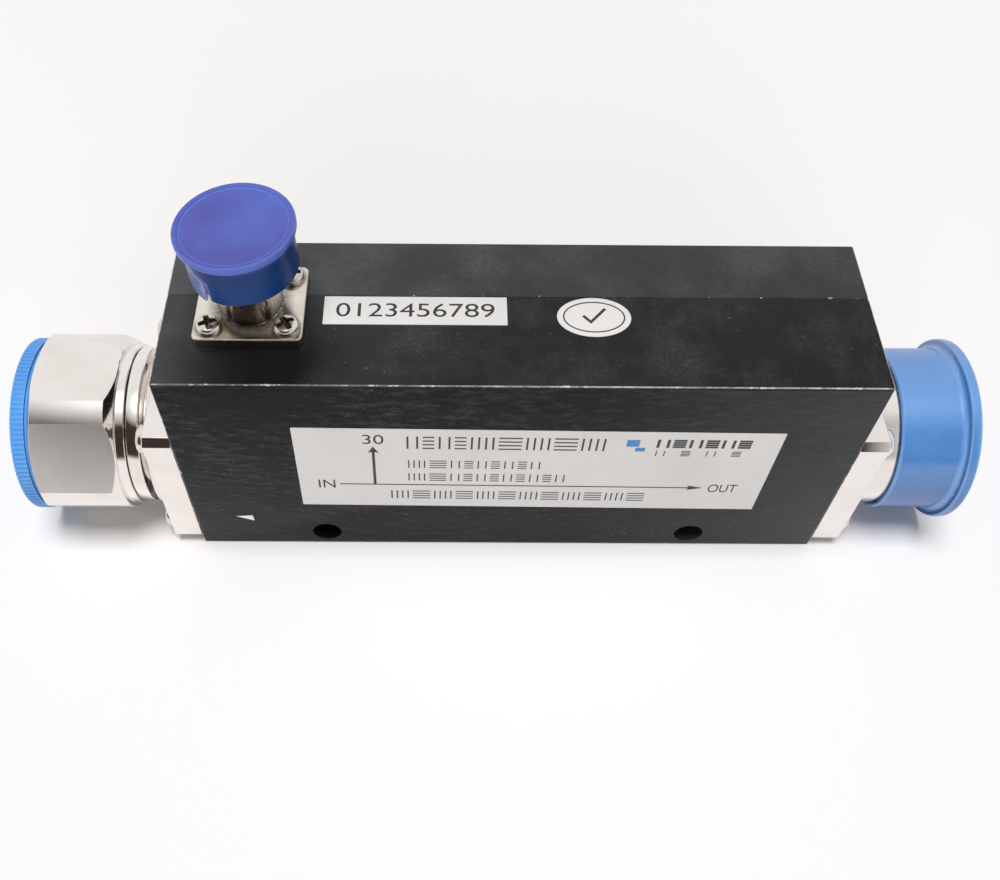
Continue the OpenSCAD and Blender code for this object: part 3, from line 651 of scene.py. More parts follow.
@dataclass(frozen=True)
class BlackPaint:
    """Semi-gloss black stoving paint with ripples, dust, and bare metal along its worn edges; with them go
    painted light streaks on the ripples, a painted highlight along the edges and a painted dark reflection by
    the port.

    Places and distances are in metres.
    """

    name: str
    haze: Pair
    colour: Colour = (0.0035, 0.0036, 0.0039)
    # dust colour, which also paints the light streaks on the ripples
    dust: Colour = (0.088, 0.09, 0.095)
    # bare metal colour, which is also the colour of the painted edge highlight
    bare: Colour = (0.74, 0.73, 0.71)
    gloss: float = 0.12
    ripple_cells: Corner = (290, 900, 1050)
    bump_cells: Corner = (300, 900, 1050)
    top_fade: Pair = (0.0496, 0.0493)
    half_length: float = 0.06
    # where the painted dark reflection by the port lies, and how far it reaches
    dark_reflection_spot: Corner = (-0.043, -0.0115, 0.05)
    dark_reflection_reach: Pair = (0.007, 0.017)

    def dust_and_sheen(self, bench: Bench) -> Socket:
        """How much dust and scuff lies where, together with painted highlights and a painted dark reflection.

        The uprights have short light streaks, painted highlights on their ripples, which calm down towards
        the output end and the bottom. Every face has mottled clouds, specks and a haze that grows towards one
        end: the input on top, the output on the uprights. By the port the dust is held back, which leaves a
        painted dark reflection.

        Args:
            bench: The material's bench.

        Returns:
            The share of dust and painted streak highlight as an output.
        """
        x, z = bench.along("X"), bench.along("Z")
        ripple = bench.noise(1.0, 4.0, bench.stretched(self.ripple_cells), 0.66)
        cloud = bench.noise(85, 5.0, rough=0.62)
        mottle = bench.ramp(bench.noise(1300, 3.0, rough=0.7), 0.45, 0.75, 0.25, 1.0)
        speck = bench.ramp(bench.noise(1100, 1.0), 0.73, 0.76)
        upright = bench.ramp(z, *self.top_fade)
        inward = bench.ramp(x, self.half_length, -self.half_length)
        far_end = bench.math("ABSOLUTE", bench.math("SUBTRACT", upright, inward))
        level = bench.ramp(upright, 0.0, 1.0, 1.0, 0.18)
        haze = bench.times(bench.ramp(cloud, 0.3, 0.7, *self.haze), level)
        dusty_end = bench.ramp(far_end, 0.6, 1.0, 0.0, 0.44)
        clean_end = bench.ramp(far_end, 0.0, 0.4, -0.05, 0.0)
        base = bench.math("ADD", haze, bench.math("ADD", dusty_end, clean_end))
        calm = bench.times(bench.ramp(x, -0.02, 0.045, 1.0, 0.45), bench.ramp(z, 0.008, 0.026, 0.4, 1.0))
        # painted highlights: light streaks along the ripples of the uprights
        painted_streaks = bench.times(bench.ramp(ripple, 0.47, 0.76, 0.0, 0.55), upright, calm)
        clouds = bench.times(mottle, bench.ramp(cloud, 0.44, 0.7, 0.06, 0.6), level)
        specks = bench.times(speck, bench.ramp(bench.noise(60, 2.0), 0.46, 0.6, 0.1, 1.0))
        spread = bench.math("ADD", base, bench.most(painted_streaks, clouds, specks))
        # painted dark reflection: little dust by the port
        by_port = bench.vector("DISTANCE", bench.place, self.dark_reflection_spot, "Value")
        return bench.times(spread, bench.ramp(by_port, *self.dark_reflection_reach, 0.1, 1.0))

    def worn(self, bench: Bench) -> Socket:
        """Where the paint is gone, together with a painted edge highlight: a thin broken line along an edge,
        partly bare metal and partly painted highlight, and small chips beside it.

        Args:
            bench: The material's bench.

        Returns:
            The share of bare metal and painted edge highlight as an output.
        """
        mark = bench.mark()
        reach = bench.ramp(bench.noise(1.0, 3.0, bench.stretched((38, 90, 90))), 0.4, 0.6, 0.3, 1.0)
        broken = bench.ramp(bench.noise(850, 3.0, rough=0.7), 0.34, 0.58, 0.35, 1.0)
        # painted highlight: a faint line along the whole rounded edge, with stronger worn segments of bare
        # metal
        line = bench.times(bench.ramp(mark, 0.68, 0.92), reach, broken)
        chip = bench.math("ADD", mark, bench.ramp(bench.noise(520, 4.0, rough=0.7), 0.3, 0.72, -0.85, 0.35))
        return bench.most(line, bench.ramp(chip, 0.74, 0.86))

    def material(self) -> Material:
        """Makes the paint.

        Returns:
            The node material.
        """
        bench = Bench(self.name)
        dust_and_sheen_share = self.dust_and_sheen(bench)
        worn = self.worn(bench)
        # the dust colour also paints the ripple highlights, and the bare colour paints the edge highlight
        # line
        colour = bench.mix(worn, bench.mix(dust_and_sheen_share, self.colour, self.dust), self.bare)
        rough = bench.ramp(dust_and_sheen_share, 0.0, 0.7, 0.22, 0.46)
        ripple = bench.noise(1.0, 3.0, bench.stretched(self.bump_cells), 0.6)
        normal = bench.bump(bench.noise(1200, 3.0, rough=0.6), 0.016, bench.bump(ripple, 0.06))
        bench.surface(Base_Color=colour, Metallic=bench.times(worn, 0.35), Roughness=rough, Normal=normal)
        bench.surface(Specular_IOR_Level=self.gloss)
        return bench.material


class Lay(Enum):
    """Which way the tool marks of a metal surface vary."""

    TURNED_X = (2600.0, 40.0, 40.0)
    TURNED_Z = (40.0, 40.0, 2600.0)
    MILLED = (180.0, 700.0, 700.0)


@dataclass(frozen=True)
class Plating:
    """Plated metal with tool marks and light stains; painted shade fills what the mark names.

    Line depth is in millimetres, seats and their reaches are in metres.
    """

    name: str
    colour: Colour
    stain: Colour
    gloss: Pair
    lay: Lay
    line_depth: float = 0.003
    painted_shade: float = 0.0
    shade_colour: Colour = (0.012, 0.01, 0.009)
    seats: tuple[Corner, Corner] | None = None
    neck_reach: Pair = (0.0054, 0.0074)
    head_reach: Pair = (0.002, 0.0028)

    def shade_mask(self, bench: Bench) -> Socket:
        """Where painted shade lies: on the mark and, if there are seats, round a neck and its four screw
        heads.

        Places are taken from the first seat, on the neck's axis, and folded into one quarter, so that one
        distance to the second seat serves all four heads. Heights count four times, which keeps the painted
        shade low.

        Args:
            bench: The material's bench.

        Returns:
            The share of painted shade as an output.
        """
        if self.seats is None:
            return bench.mark()
        middle, head = self.seats
        folded = bench.vector("ABSOLUTE", bench.vector("SUBTRACT", bench.place, middle))
        low = bench.vector("MULTIPLY", folded, (1, 1, 4))
        neck = bench.ramp(bench.vector("LENGTH", low, output="Value"), *self.neck_reach, 1.0, 0.0)
        heads = bench.ramp(bench.vector("DISTANCE", low, head, "Value"), *self.head_reach, 1.0, 0.0)
        return bench.most(bench.mark(), neck, heads)

    def material(self) -> Material:
        """Makes the metal.

        Returns:
            The node material.
        """
        bench = Bench(self.name)
        lines = bench.noise(1.0, 4.0, bench.stretched(self.lay.value), 0.65)
        cloud = bench.noise(140, 4.0, rough=0.6)
        fine = bench.noise(2400, 2.0)
        colour = bench.mix(bench.ramp(cloud, 0.42, 0.78), self.colour, self.stain)
        # painted shade: darker in recesses, at the foot of the port's neck and round its screw heads
        if self.painted_shade:
            soiled = bench.times(self.shade_mask(bench), bench.ramp(fine, 0.25, 0.6, 0.55, 1.0), self.painted_shade)
            colour = bench.mix(soiled, colour, self.shade_colour)
        rough = bench.ramp(bench.math("ADD", lines, cloud), 0.7, 1.35, *self.gloss)
        normal = bench.bump(fine, 0.001, bench.bump(lines, self.line_depth))
        bench.surface(Base_Color=colour, Metallic=1.0, Roughness=rough, Normal=normal)
        return bench.material


@dataclass(frozen=True)
class NutPlating:
    """Plating that is satin on the milled flats, mark 0, and brighter on turned faces, mark 1."""

    name: str
    colour: Colour
    stain: Colour
    flat_gloss: float = 0.3
    turned_gloss: float = 0.1
    stroke_cells: Corner = (1500, 160, 160)

    def material(self) -> Material:
        """Makes the metal.

        Returns:
            The node material.
        """
        bench = Bench(self.name)
        mark = bench.mark()
        turned = bench.ramp(mark, 0.1, 0.2)
        rings = bench.noise(1.0, 4.0, bench.stretched(Lay.TURNED_X.value), 0.65)
        strokes = bench.noise(1.0, 4.0, bench.stretched(self.stroke_cells), 0.6)
        cloud = bench.noise(120, 4.0, rough=0.6)
        colour = bench.mix(bench.ramp(cloud, 0.42, 0.8), self.colour, self.stain)
        gloss = bench.ramp(mark, 0.0, 1.0, self.flat_gloss, self.turned_gloss)
        uneven = bench.ramp(bench.math("ADD", strokes, cloud), 0.7, 1.35, -0.03, 0.05)
        rough = bench.math("ADD", gloss, uneven)
        normal = bench.bump(bench.times(rings, turned), 0.0035, bench.bump(strokes, 0.0012))
        bench.surface(Base_Color=colour, Metallic=1.0, Roughness=rough, Normal=normal)
        return bench.material


@dataclass(frozen=True)
class CapPlastic:
    """Soft satin polyethylene, a little translucent, that turns pale where it is strained; it is lighter
    along marked edges as a painted highlight and darker low down as painted shade.
    """

    name: str
    colour: Colour
    deep: Colour
    bright: Colour
    strained: Colour
    foot: Colour
    fade: Pair
    gloss: float = 0.34
    shine: float = 0.5

    def material(self) -> Material:
        """Makes the plastic; below the fade's heights, in metres, it has the foot's colour, a painted shade.

        Returns:
            The node material.
        """
        bench = Bench(self.name)
        flow = bench.noise(75, 3.0, rough=0.55)
        scuff = bench.noise(1.0, 2.0, bench.stretched((420, 420, 260)), 0.5)
        colour = bench.mix(bench.ramp(flow, 0.36, 0.68), self.colour, self.deep)
        # painted shade: the darker foot colour low on the cap
        colour = bench.mix(bench.ramp(bench.along("Z"), *self.fade, 1.0, 0.0), colour, self.foot)
        mark = bench.mark()
        strain = bench.times(mark, bench.ramp(scuff, 0.3, 0.62, 0.45, 1.0))
        # painted highlight along marked edges and ribs; the same colour also pales the plastic along the tear
        colour = bench.mix(bench.ramp(mark, 0.0, 0.5), colour, self.bright)
        colour = bench.mix(bench.ramp(strain, 0.4, 1.0), colour, self.strained)
        rough = bench.ramp(scuff, 0.3, 0.75, self.gloss - 0.06, self.gloss + 0.12)
        bench.surface(Base_Color=colour, Roughness=rough, Normal=bench.bump(scuff, 0.002))
        bench.surface(Specular_IOR_Level=self.shine, IOR=1.6)
        return bench.material


@dataclass(frozen=True)
class StickerStock:
    """White sticker film with faint fibres, a soft sheen and a soiled edge."""

    name: str
    colour: Colour
    soiled: Colour

    def material(self) -> Material:
        """Makes the film.

        Returns:
            The node material.
        """
        bench = Bench(self.name)
        fibre = bench.noise(1.0, 4.0, bench.stretched((700, 2400, 2400)), 0.6)
        cloud = bench.noise(60, 3.0)
        dirt = bench.ramp(bench.noise(1300, 3.0, rough=0.7), 0.66, 0.76, 0.0, 0.35)
        edge = bench.math("MULTIPLY", bench.mark(), bench.ramp(cloud, 0.35, 0.65, 0.2, 0.9))
        colour = bench.mix(bench.math("MAXIMUM", dirt, edge), self.colour, self.soiled)
        rough = bench.ramp(bench.math("ADD", fibre, cloud), 0.7, 1.3, 0.36, 0.52)
        bench.surface(Base_Color=colour, Roughness=rough, Normal=bench.bump(fibre, 0.004))
        return bench.material


@dataclass(frozen=True)
class Ink:
    """Print on a sticker, a little broken up."""

    name: str
    colour: Colour
    thin: Colour

    def material(self) -> Material:
        """Makes the ink.

        Returns:
            The node material.
        """
        bench = Bench(self.name)
        worn = bench.ramp(bench.noise(2600, 3.0, rough=0.7), 0.45, 0.75, 0.0, 1.0)
        rough = bench.ramp(worn, 0.0, 1.0, 0.4, 0.6)
        bench.surface(Base_Color=bench.mix(worn, self.colour, self.thin), Roughness=rough)
        return bench.material


@dataclass(frozen=True)
class Bulk:
    """A plain bulk material, such as a fluoropolymer, a rubber or a ceramic."""

    name: str
    colour: Colour
    shade: Colour
    gloss: float

    def material(self) -> Material:
        """Makes the bulk material.

        Returns:
            The node material.
        """
        bench = Bench(self.name)
        cloud = bench.noise(320, 4.0, rough=0.6)
        fine = bench.noise(2800, 2.0)
        colour = bench.mix(bench.ramp(cloud, 0.35, 0.7, 0.0, 1.0), self.colour, self.shade)
        rough = bench.ramp(fine, 0.3, 0.7, self.gloss - 0.05, self.gloss + 0.08)
        bench.surface(Base_Color=colour, Roughness=rough, Normal=bench.bump(fine, 0.003))
        return bench.material


class Finishes:
    """Every finish of the coupler, made once."""

    def __init__(self) -> None:
        """Makes the materials."""
        self.paint = BlackPaint("front_block_paint", (0.1, 0.22)).material()
        self.cover_paint = BlackPaint("rear_cover_paint", (0.4, 0.62)).material()
        satin = {"colour": (0.87, 0.83, 0.8), "stain": (0.79, 0.74, 0.7)}
        self.nut = NutPlating("nut_plating", **satin).material()
        self.turned = Plating("turned_plating", **satin, gloss=(0.07, 0.15), lay=Lay.TURNED_X).material()
        self.port = Plating(
            "nickel_port_plating",
            colour=(0.79, 0.74, 0.66),
            stain=(0.6, 0.54, 0.45),
            gloss=(0.12, 0.24),
            lay=Lay.TURNED_Z,
            painted_shade=0.8,
            # the neck and one screw head, round which shade is painted
            seats=((-0.0446, 0.0, 0.0518), (0.0063, 0.0056, 0.0)),
        ).material()
        self.screw = Plating(
            "plated_screw_steel",
            colour=(0.78, 0.74, 0.69),
            stain=(0.5, 0.45, 0.4),
            gloss=(0.14, 0.28),
            lay=Lay.MILLED,
            line_depth=0.006,
            painted_shade=1.0,
        ).material()
        self.dark_screw = Plating(
            "blackened_screw_steel",
            colour=(0.09, 0.09, 0.095),
            stain=(0.05, 0.05, 0.05),
            gloss=(0.3, 0.45),
            lay=Lay.MILLED,
            line_depth=0.006,
            painted_shade=1.0,
        ).material()
        self.silver = Plating(
            "silver_contact_plating",
            colour=(0.9, 0.86, 0.78),
            stain=(0.72, 0.62, 0.45),
            gloss=(0.12, 0.24),
            lay=Lay.TURNED_X,
        ).material()
        self.chip = Plating(
            "bare_block_metal",
            colour=(0.88, 0.88, 0.87),
            stain=(0.7, 0.69, 0.68),
            gloss=(0.3, 0.45),
            lay=Lay.MILLED,
            line_depth=0.006,
        ).material()
        self.rim_blue = CapPlastic(
            "bright_blue_plastic",
            colour=(0.085, 0.34, 0.82),
            deep=(0.06, 0.27, 0.72),
            bright=(0.16, 0.45, 0.88),
            strained=(0.3, 0.55, 0.92),
            foot=(0.05, 0.24, 0.66),
            fade=(0.002, 0.022),
        ).material()
        self.tube_blue = CapPlastic(
            "sky_blue_plastic",
            colour=(0.11, 0.31, 0.7),
            deep=(0.09, 0.28, 0.66),
            bright=(0.16, 0.38, 0.77),
            strained=(0.26, 0.48, 0.82),
            foot=(0.008, 0.1, 0.375),
            fade=(0.012, 0.034),
            gloss=0.24,
            shine=1.0,
        ).material()
        self.port_blue = CapPlastic(
            "royal_blue_plastic",
            colour=(0.1, 0.105, 0.42),
            deep=(0.11, 0.165, 0.56),
            bright=(0.12, 0.2, 0.64),
            strained=(0.42, 0.46, 0.72),
            foot=(0.008, 0.05, 0.21),
            fade=(0.0668, 0.068),
            gloss=0.3,
            shine=0.16,
        ).material()
        self.sticker = StickerStock("sticker_film", (0.81, 0.79, 0.775), (0.42, 0.4, 0.39)).material()
        self.ink = Ink("black_ink", (0.012, 0.012, 0.012), (0.06, 0.058, 0.056)).material()
        self.blue_ink = Ink("blue_ink", (0.05, 0.25, 0.62), (0.12, 0.33, 0.66)).material()
        self.fluoropolymer = Bulk("white_fluoropolymer", (0.86, 0.86, 0.84), (0.8, 0.8, 0.78), 0.4).material()
        self.seal = Bulk("red_silicone", (0.34, 0.05, 0.03), (0.27, 0.04, 0.025), 0.5).material()
        self.ceramic = Bulk("resistor_ceramic", (0.6, 0.56, 0.46), (0.5, 0.46, 0.37), 0.45).material()


@dataclass
class Maker:
    """Puts surfaces into the scene and ties them to the CAD frame."""

    finishes: Finishes
    nodes: dict[str, bpy.types.Object]

    def piece(
        self,
        name: str,
        surface: Surface,
        material: Material,
        body: str,
        slot: str,
        stands_for: tuple[str, ...] = (),
        crease: float = CREASE,
    ) -> bpy.types.Object:
        """Makes a mesh object of a surface.

        Args:
            name: The piece's name.
            surface: Its surface in millimetres.
            material: Its finish.
            body: The CAD body that it rides on.
            slot: Not used.
            stands_for: CAD nodes that it replaces.
            crease: Edges sharper than this angle in degrees stay sharp.

        Returns:
            The new object.
        """
        mesh = bpy.data.meshes.new(name)
        corners = np.concatenate([group.reshape(-1) for group in surface.faces]).astype(np.int32)
        totals = np.concatenate([np.full(len(group), group.shape[1]) for group in surface.faces])
        starts = np.concatenate(([0], np.cumsum(totals)[:-1])).astype(np.int32)
        mesh.vertices.add(len(surface.points))
        mesh.vertices.foreach_set("co", (surface.points * MM).astype(np.float32).reshape(-1))
        mesh.loops.add(len(corners))
        mesh.loops.foreach_set("vertex_index", corners)
        mesh.polygons.add(len(totals))
        mesh.polygons.foreach_set("loop_start", starts)
        mesh.update(calc_edges=True)
        mesh.validate()
        wear = mesh.attributes.new(POINT_MARK, "FLOAT", "POINT")
        wear.data.foreach_set("value", surface.marks.astype(np.float32))
        mesh.shade_smooth()
        mesh.set_sharp_from_angle(angle=math.radians(crease))
        mesh.materials.append(material)
        made = bpy.data.objects.new(name, mesh)
        bpy.context.scene.collection.objects.link(made)
        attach(made, body)
        if stands_for:
            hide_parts(*stands_for)
        LOG.info("piece %s: %d points, %d faces", name, len(surface.points), len(totals))
        return made

    def drill(self, target: bpy.types.Object, cutters: Surface) -> None:
        """Cuts holes into a piece and keeps the result as its mesh.

        Args:
            target: The piece.
            cutters: Closed surfaces to take away.
        """
        mesh = bpy.data.meshes.new("cutters")
        groups = [face for group in cutters.faces for face in group.tolist()]
        mesh.from_pydata((cutters.points * MM).tolist(), [], groups)
        tool = bpy.data.objects.new("cutters", mesh)
        bpy.context.scene.collection.objects.link(tool)
        cut = target.modifiers.new("holes", "BOOLEAN")
        cut.object = tool
        cut.operation = "DIFFERENCE"
        cut.solver = "EXACT"
        graph = bpy.context.evaluated_depsgraph_get()
        graph.update()
        result = bpy.data.meshes.new_from_object(
            target.evaluated_get(graph), preserve_all_data_layers=True, depsgraph=graph
        )
        target.modifiers.clear()
        target.data = result
        result.set_sharp_from_angle(angle=math.radians(CREASE))
        bpy.data.objects.remove(tool)

    def dress(self, material: Material, *names: str) -> None:
        """Gives carried-over CAD nodes a finish in their material slots.

        Args:
            material: The finish.
            *names: The nodes' names.
        """
        for name in names:
            node = self.nodes[name]
            node.data.materials.clear()
            node.data.materials.append(material)
            LOG.info("dressed %s with %s", name, material.name)


@dataclass
class Block:
    """The painted front block and rear cover, with their holes and the screws at the back."""

    length: float = 119.0
    front: float = -16.0
    seam: float = 3.4
    back: float = 16.0
    height: float = 50.0
    edge: float = 0.4
    edge_steps: int = 6
    # wear and painted highlight along the long edges
    front_wear_and_highlight: tuple[float, ...] = (0.5, 0.3, 0.7, 1.0)
    cover_wear_and_highlight: tuple[float, ...] = (0.3, 0.5, 0.66, 0.72)
    hole_radius: float = 2.75
    hole_spacing: float = 70.0
    hole_height: float = 4.2
    cut_room: float = 1.0
    upper_screws: tuple[float, ...] = (-55.5, -18.0, 18.0, 55.5)
    upper_height: float = 45.0
    lower_screws: tuple[float, ...] = (-47.0, -18.0, 18.0, 47.0)
    lower_height: float = 5.0
    seat_depth: float = 2.2
    head_radius: float = 2.8
    head_room: float = 0.1
    head_depth: float = 2.1
    head_rim: float = 2.0
    head_sunk: float = 0.12
    chip_place: Pair = (-50.1, 9.2)
    chip_corners: tuple[Pair, ...] = ((-1.7, 0.55), (0.5, -0.5), (1.6, -1.0), (1.45, 0.85))
    chip_ends: Pair = (-0.02, 0.015)

    def bar(self, low: float, high: float, wear: tuple[float, ...]) -> Surface:
        """A bar with rounded edges along the block.

        Args:
            low: Its front face.
            high: Its back face.
            wear: Wear and painted highlight of the long edges: lower front, lower back, upper back, upper
                front.

        Returns:
            The closed bar.
        """
        axes = Axes.at((0, 0, 0), (1, 0, 0), (0, 1, 0))
        r = self.edge
        corners = [(low, 0, r), (high, 0, r), (high, self.height, r), (low, self.height, r)]
        outline, marks = arcs(corners, closed=True, steps=self.edge_steps)
        marks = marks * np.repeat(wear, self.edge_steps + 1)
        half = self.length / 2
        return prism(outline, axes, -half, half, self.edge, corner_marks=marks)

    def screw_places(self) -> list[Pair]:
        """Places of the cover's screws on the back face, along the block and up."""
        upper = [(x, self.upper_height) for x in self.upper_screws]
        return upper + [(x, self.lower_height) for x in self.lower_screws]

    def hole_cutters(self, front: float, back: float) -> list[Surface]:
        """Cylinders for the two mounting holes, a little longer than the piece.

        Args:
            front: The piece's front face.
            back: Its back face.

        Returns:
            The closed cylinders.
        """
        cutters = []
        for side in (-1, 1):
            axes = Axes.at((side * self.hole_spacing / 2, 0, self.hole_height), (0, 1, 0), (0, 0, 1))
            cutters.append(pin(axes, front - self.cut_room, back + self.cut_room, self.hole_radius, 64))
        return cutters

    def chip(self) -> Surface:
        """The bare patch low on the front, near the input end.

        Returns:
            The closed thin patch.
        """
        x, z = self.chip_place
        face = Axes.at((x, self.front, z), (0, -1, 0), (1, 0, 0))
        return prism(np.array(self.chip_corners), face, *self.chip_ends)

    def build(self, maker: Maker) -> None:
        """Makes both halves, the chip and the screws.

        Args:
            maker: What puts the pieces into the scene.
        """
        finishes = maker.finishes
        bar = self.bar(self.front, self.seam, self.front_wear_and_highlight)
        front = maker.piece("front_block_painted", bar, finishes.paint, "coupler", "block", ("front_block",))
        maker.drill(front, Surface.joined(self.hole_cutters(self.front, self.seam)))
        maker.piece("paint_chip", self.chip(), finishes.chip, "coupler", "block")
        bar = self.bar(self.seam, self.back, self.cover_wear_and_highlight)
        cover = maker.piece(
            "rear_cover_painted", bar, finishes.cover_paint, "coupler", "block", ("rear_cover",)
        )
        cutters = self.hole_cutters(self.seam, self.back)
        heads = []
        for x, z in self.screw_places():
            axes = Axes.at((x, self.back, z), (0, 1, 0), (0, 0, 1))
            cutters.append(pin(axes, -self.seat_depth, self.cut_room, self.head_radius + self.head_room, 48))
            seat = axes.moved(-self.head_depth, 0, 0)
            height, rim = self.head_depth - self.head_sunk, self.head_rim - self.head_sunk
            heads.append(cross_head(seat, self.head_radius, height, rim))
        maker.drill(cover, Surface.joined(cutters))
        screws = Surface.joined(heads)
        maker.piece("cover_screw_heads", screws, finishes.dark_screw, "coupler", "screw", ("cover_screws",))


@dataclass
class EndFlange:
    """The square flange that both end connectors have, with its four screws."""

    width: float = 32.0
    thickness: float = 5.2
    chamfer: float = 1.3
    rounding: float = 0.25
    bore: float = 8.0
    screw_spacing: float = 24.8
    head_radius: float = 2.6
    head_height: float = 1.8
    rim_share: float = 0.45

    def plate(self, axes: Axes) -> Surface:
        """The plate, an octagon with four short sides, with the line's bore through it.

        Args:
            axes: The connector's axis, from the block's end.

        Returns:
            The closed plate.
        """
        h = self.width / 2
        s = h - self.chamfer
        r = self.rounding
        right, left = [(h, -s, r), (h, s, r)], [(-h, s, r), (-h, -s, r)]
        upper, lower = [(s, h, r), (-s, h, r)], [(-s, -h, r), (s, -h, r)]
        outline, _ = arcs(right + upper + left + lower, closed=True)
        return prism(outline, axes, 0, self.thickness, self.rounding, bored(outline, self.bore))

    def screws(self, axes: Axes) -> Surface:
        """The four screw heads on the plate's outer face.

        Args:
            axes: The connector's axis, from the block's end.

        Returns:
            The closed heads.
        """
        half = self.screw_spacing / 2
        rim = self.head_height * self.rim_share
        seats = [axes.moved(self.thickness, b, c) for b in (-half, half) for c in (-half, half)]
        return Surface.joined([cross_head(seat, self.head_radius, self.head_height, rim) for seat in seats])


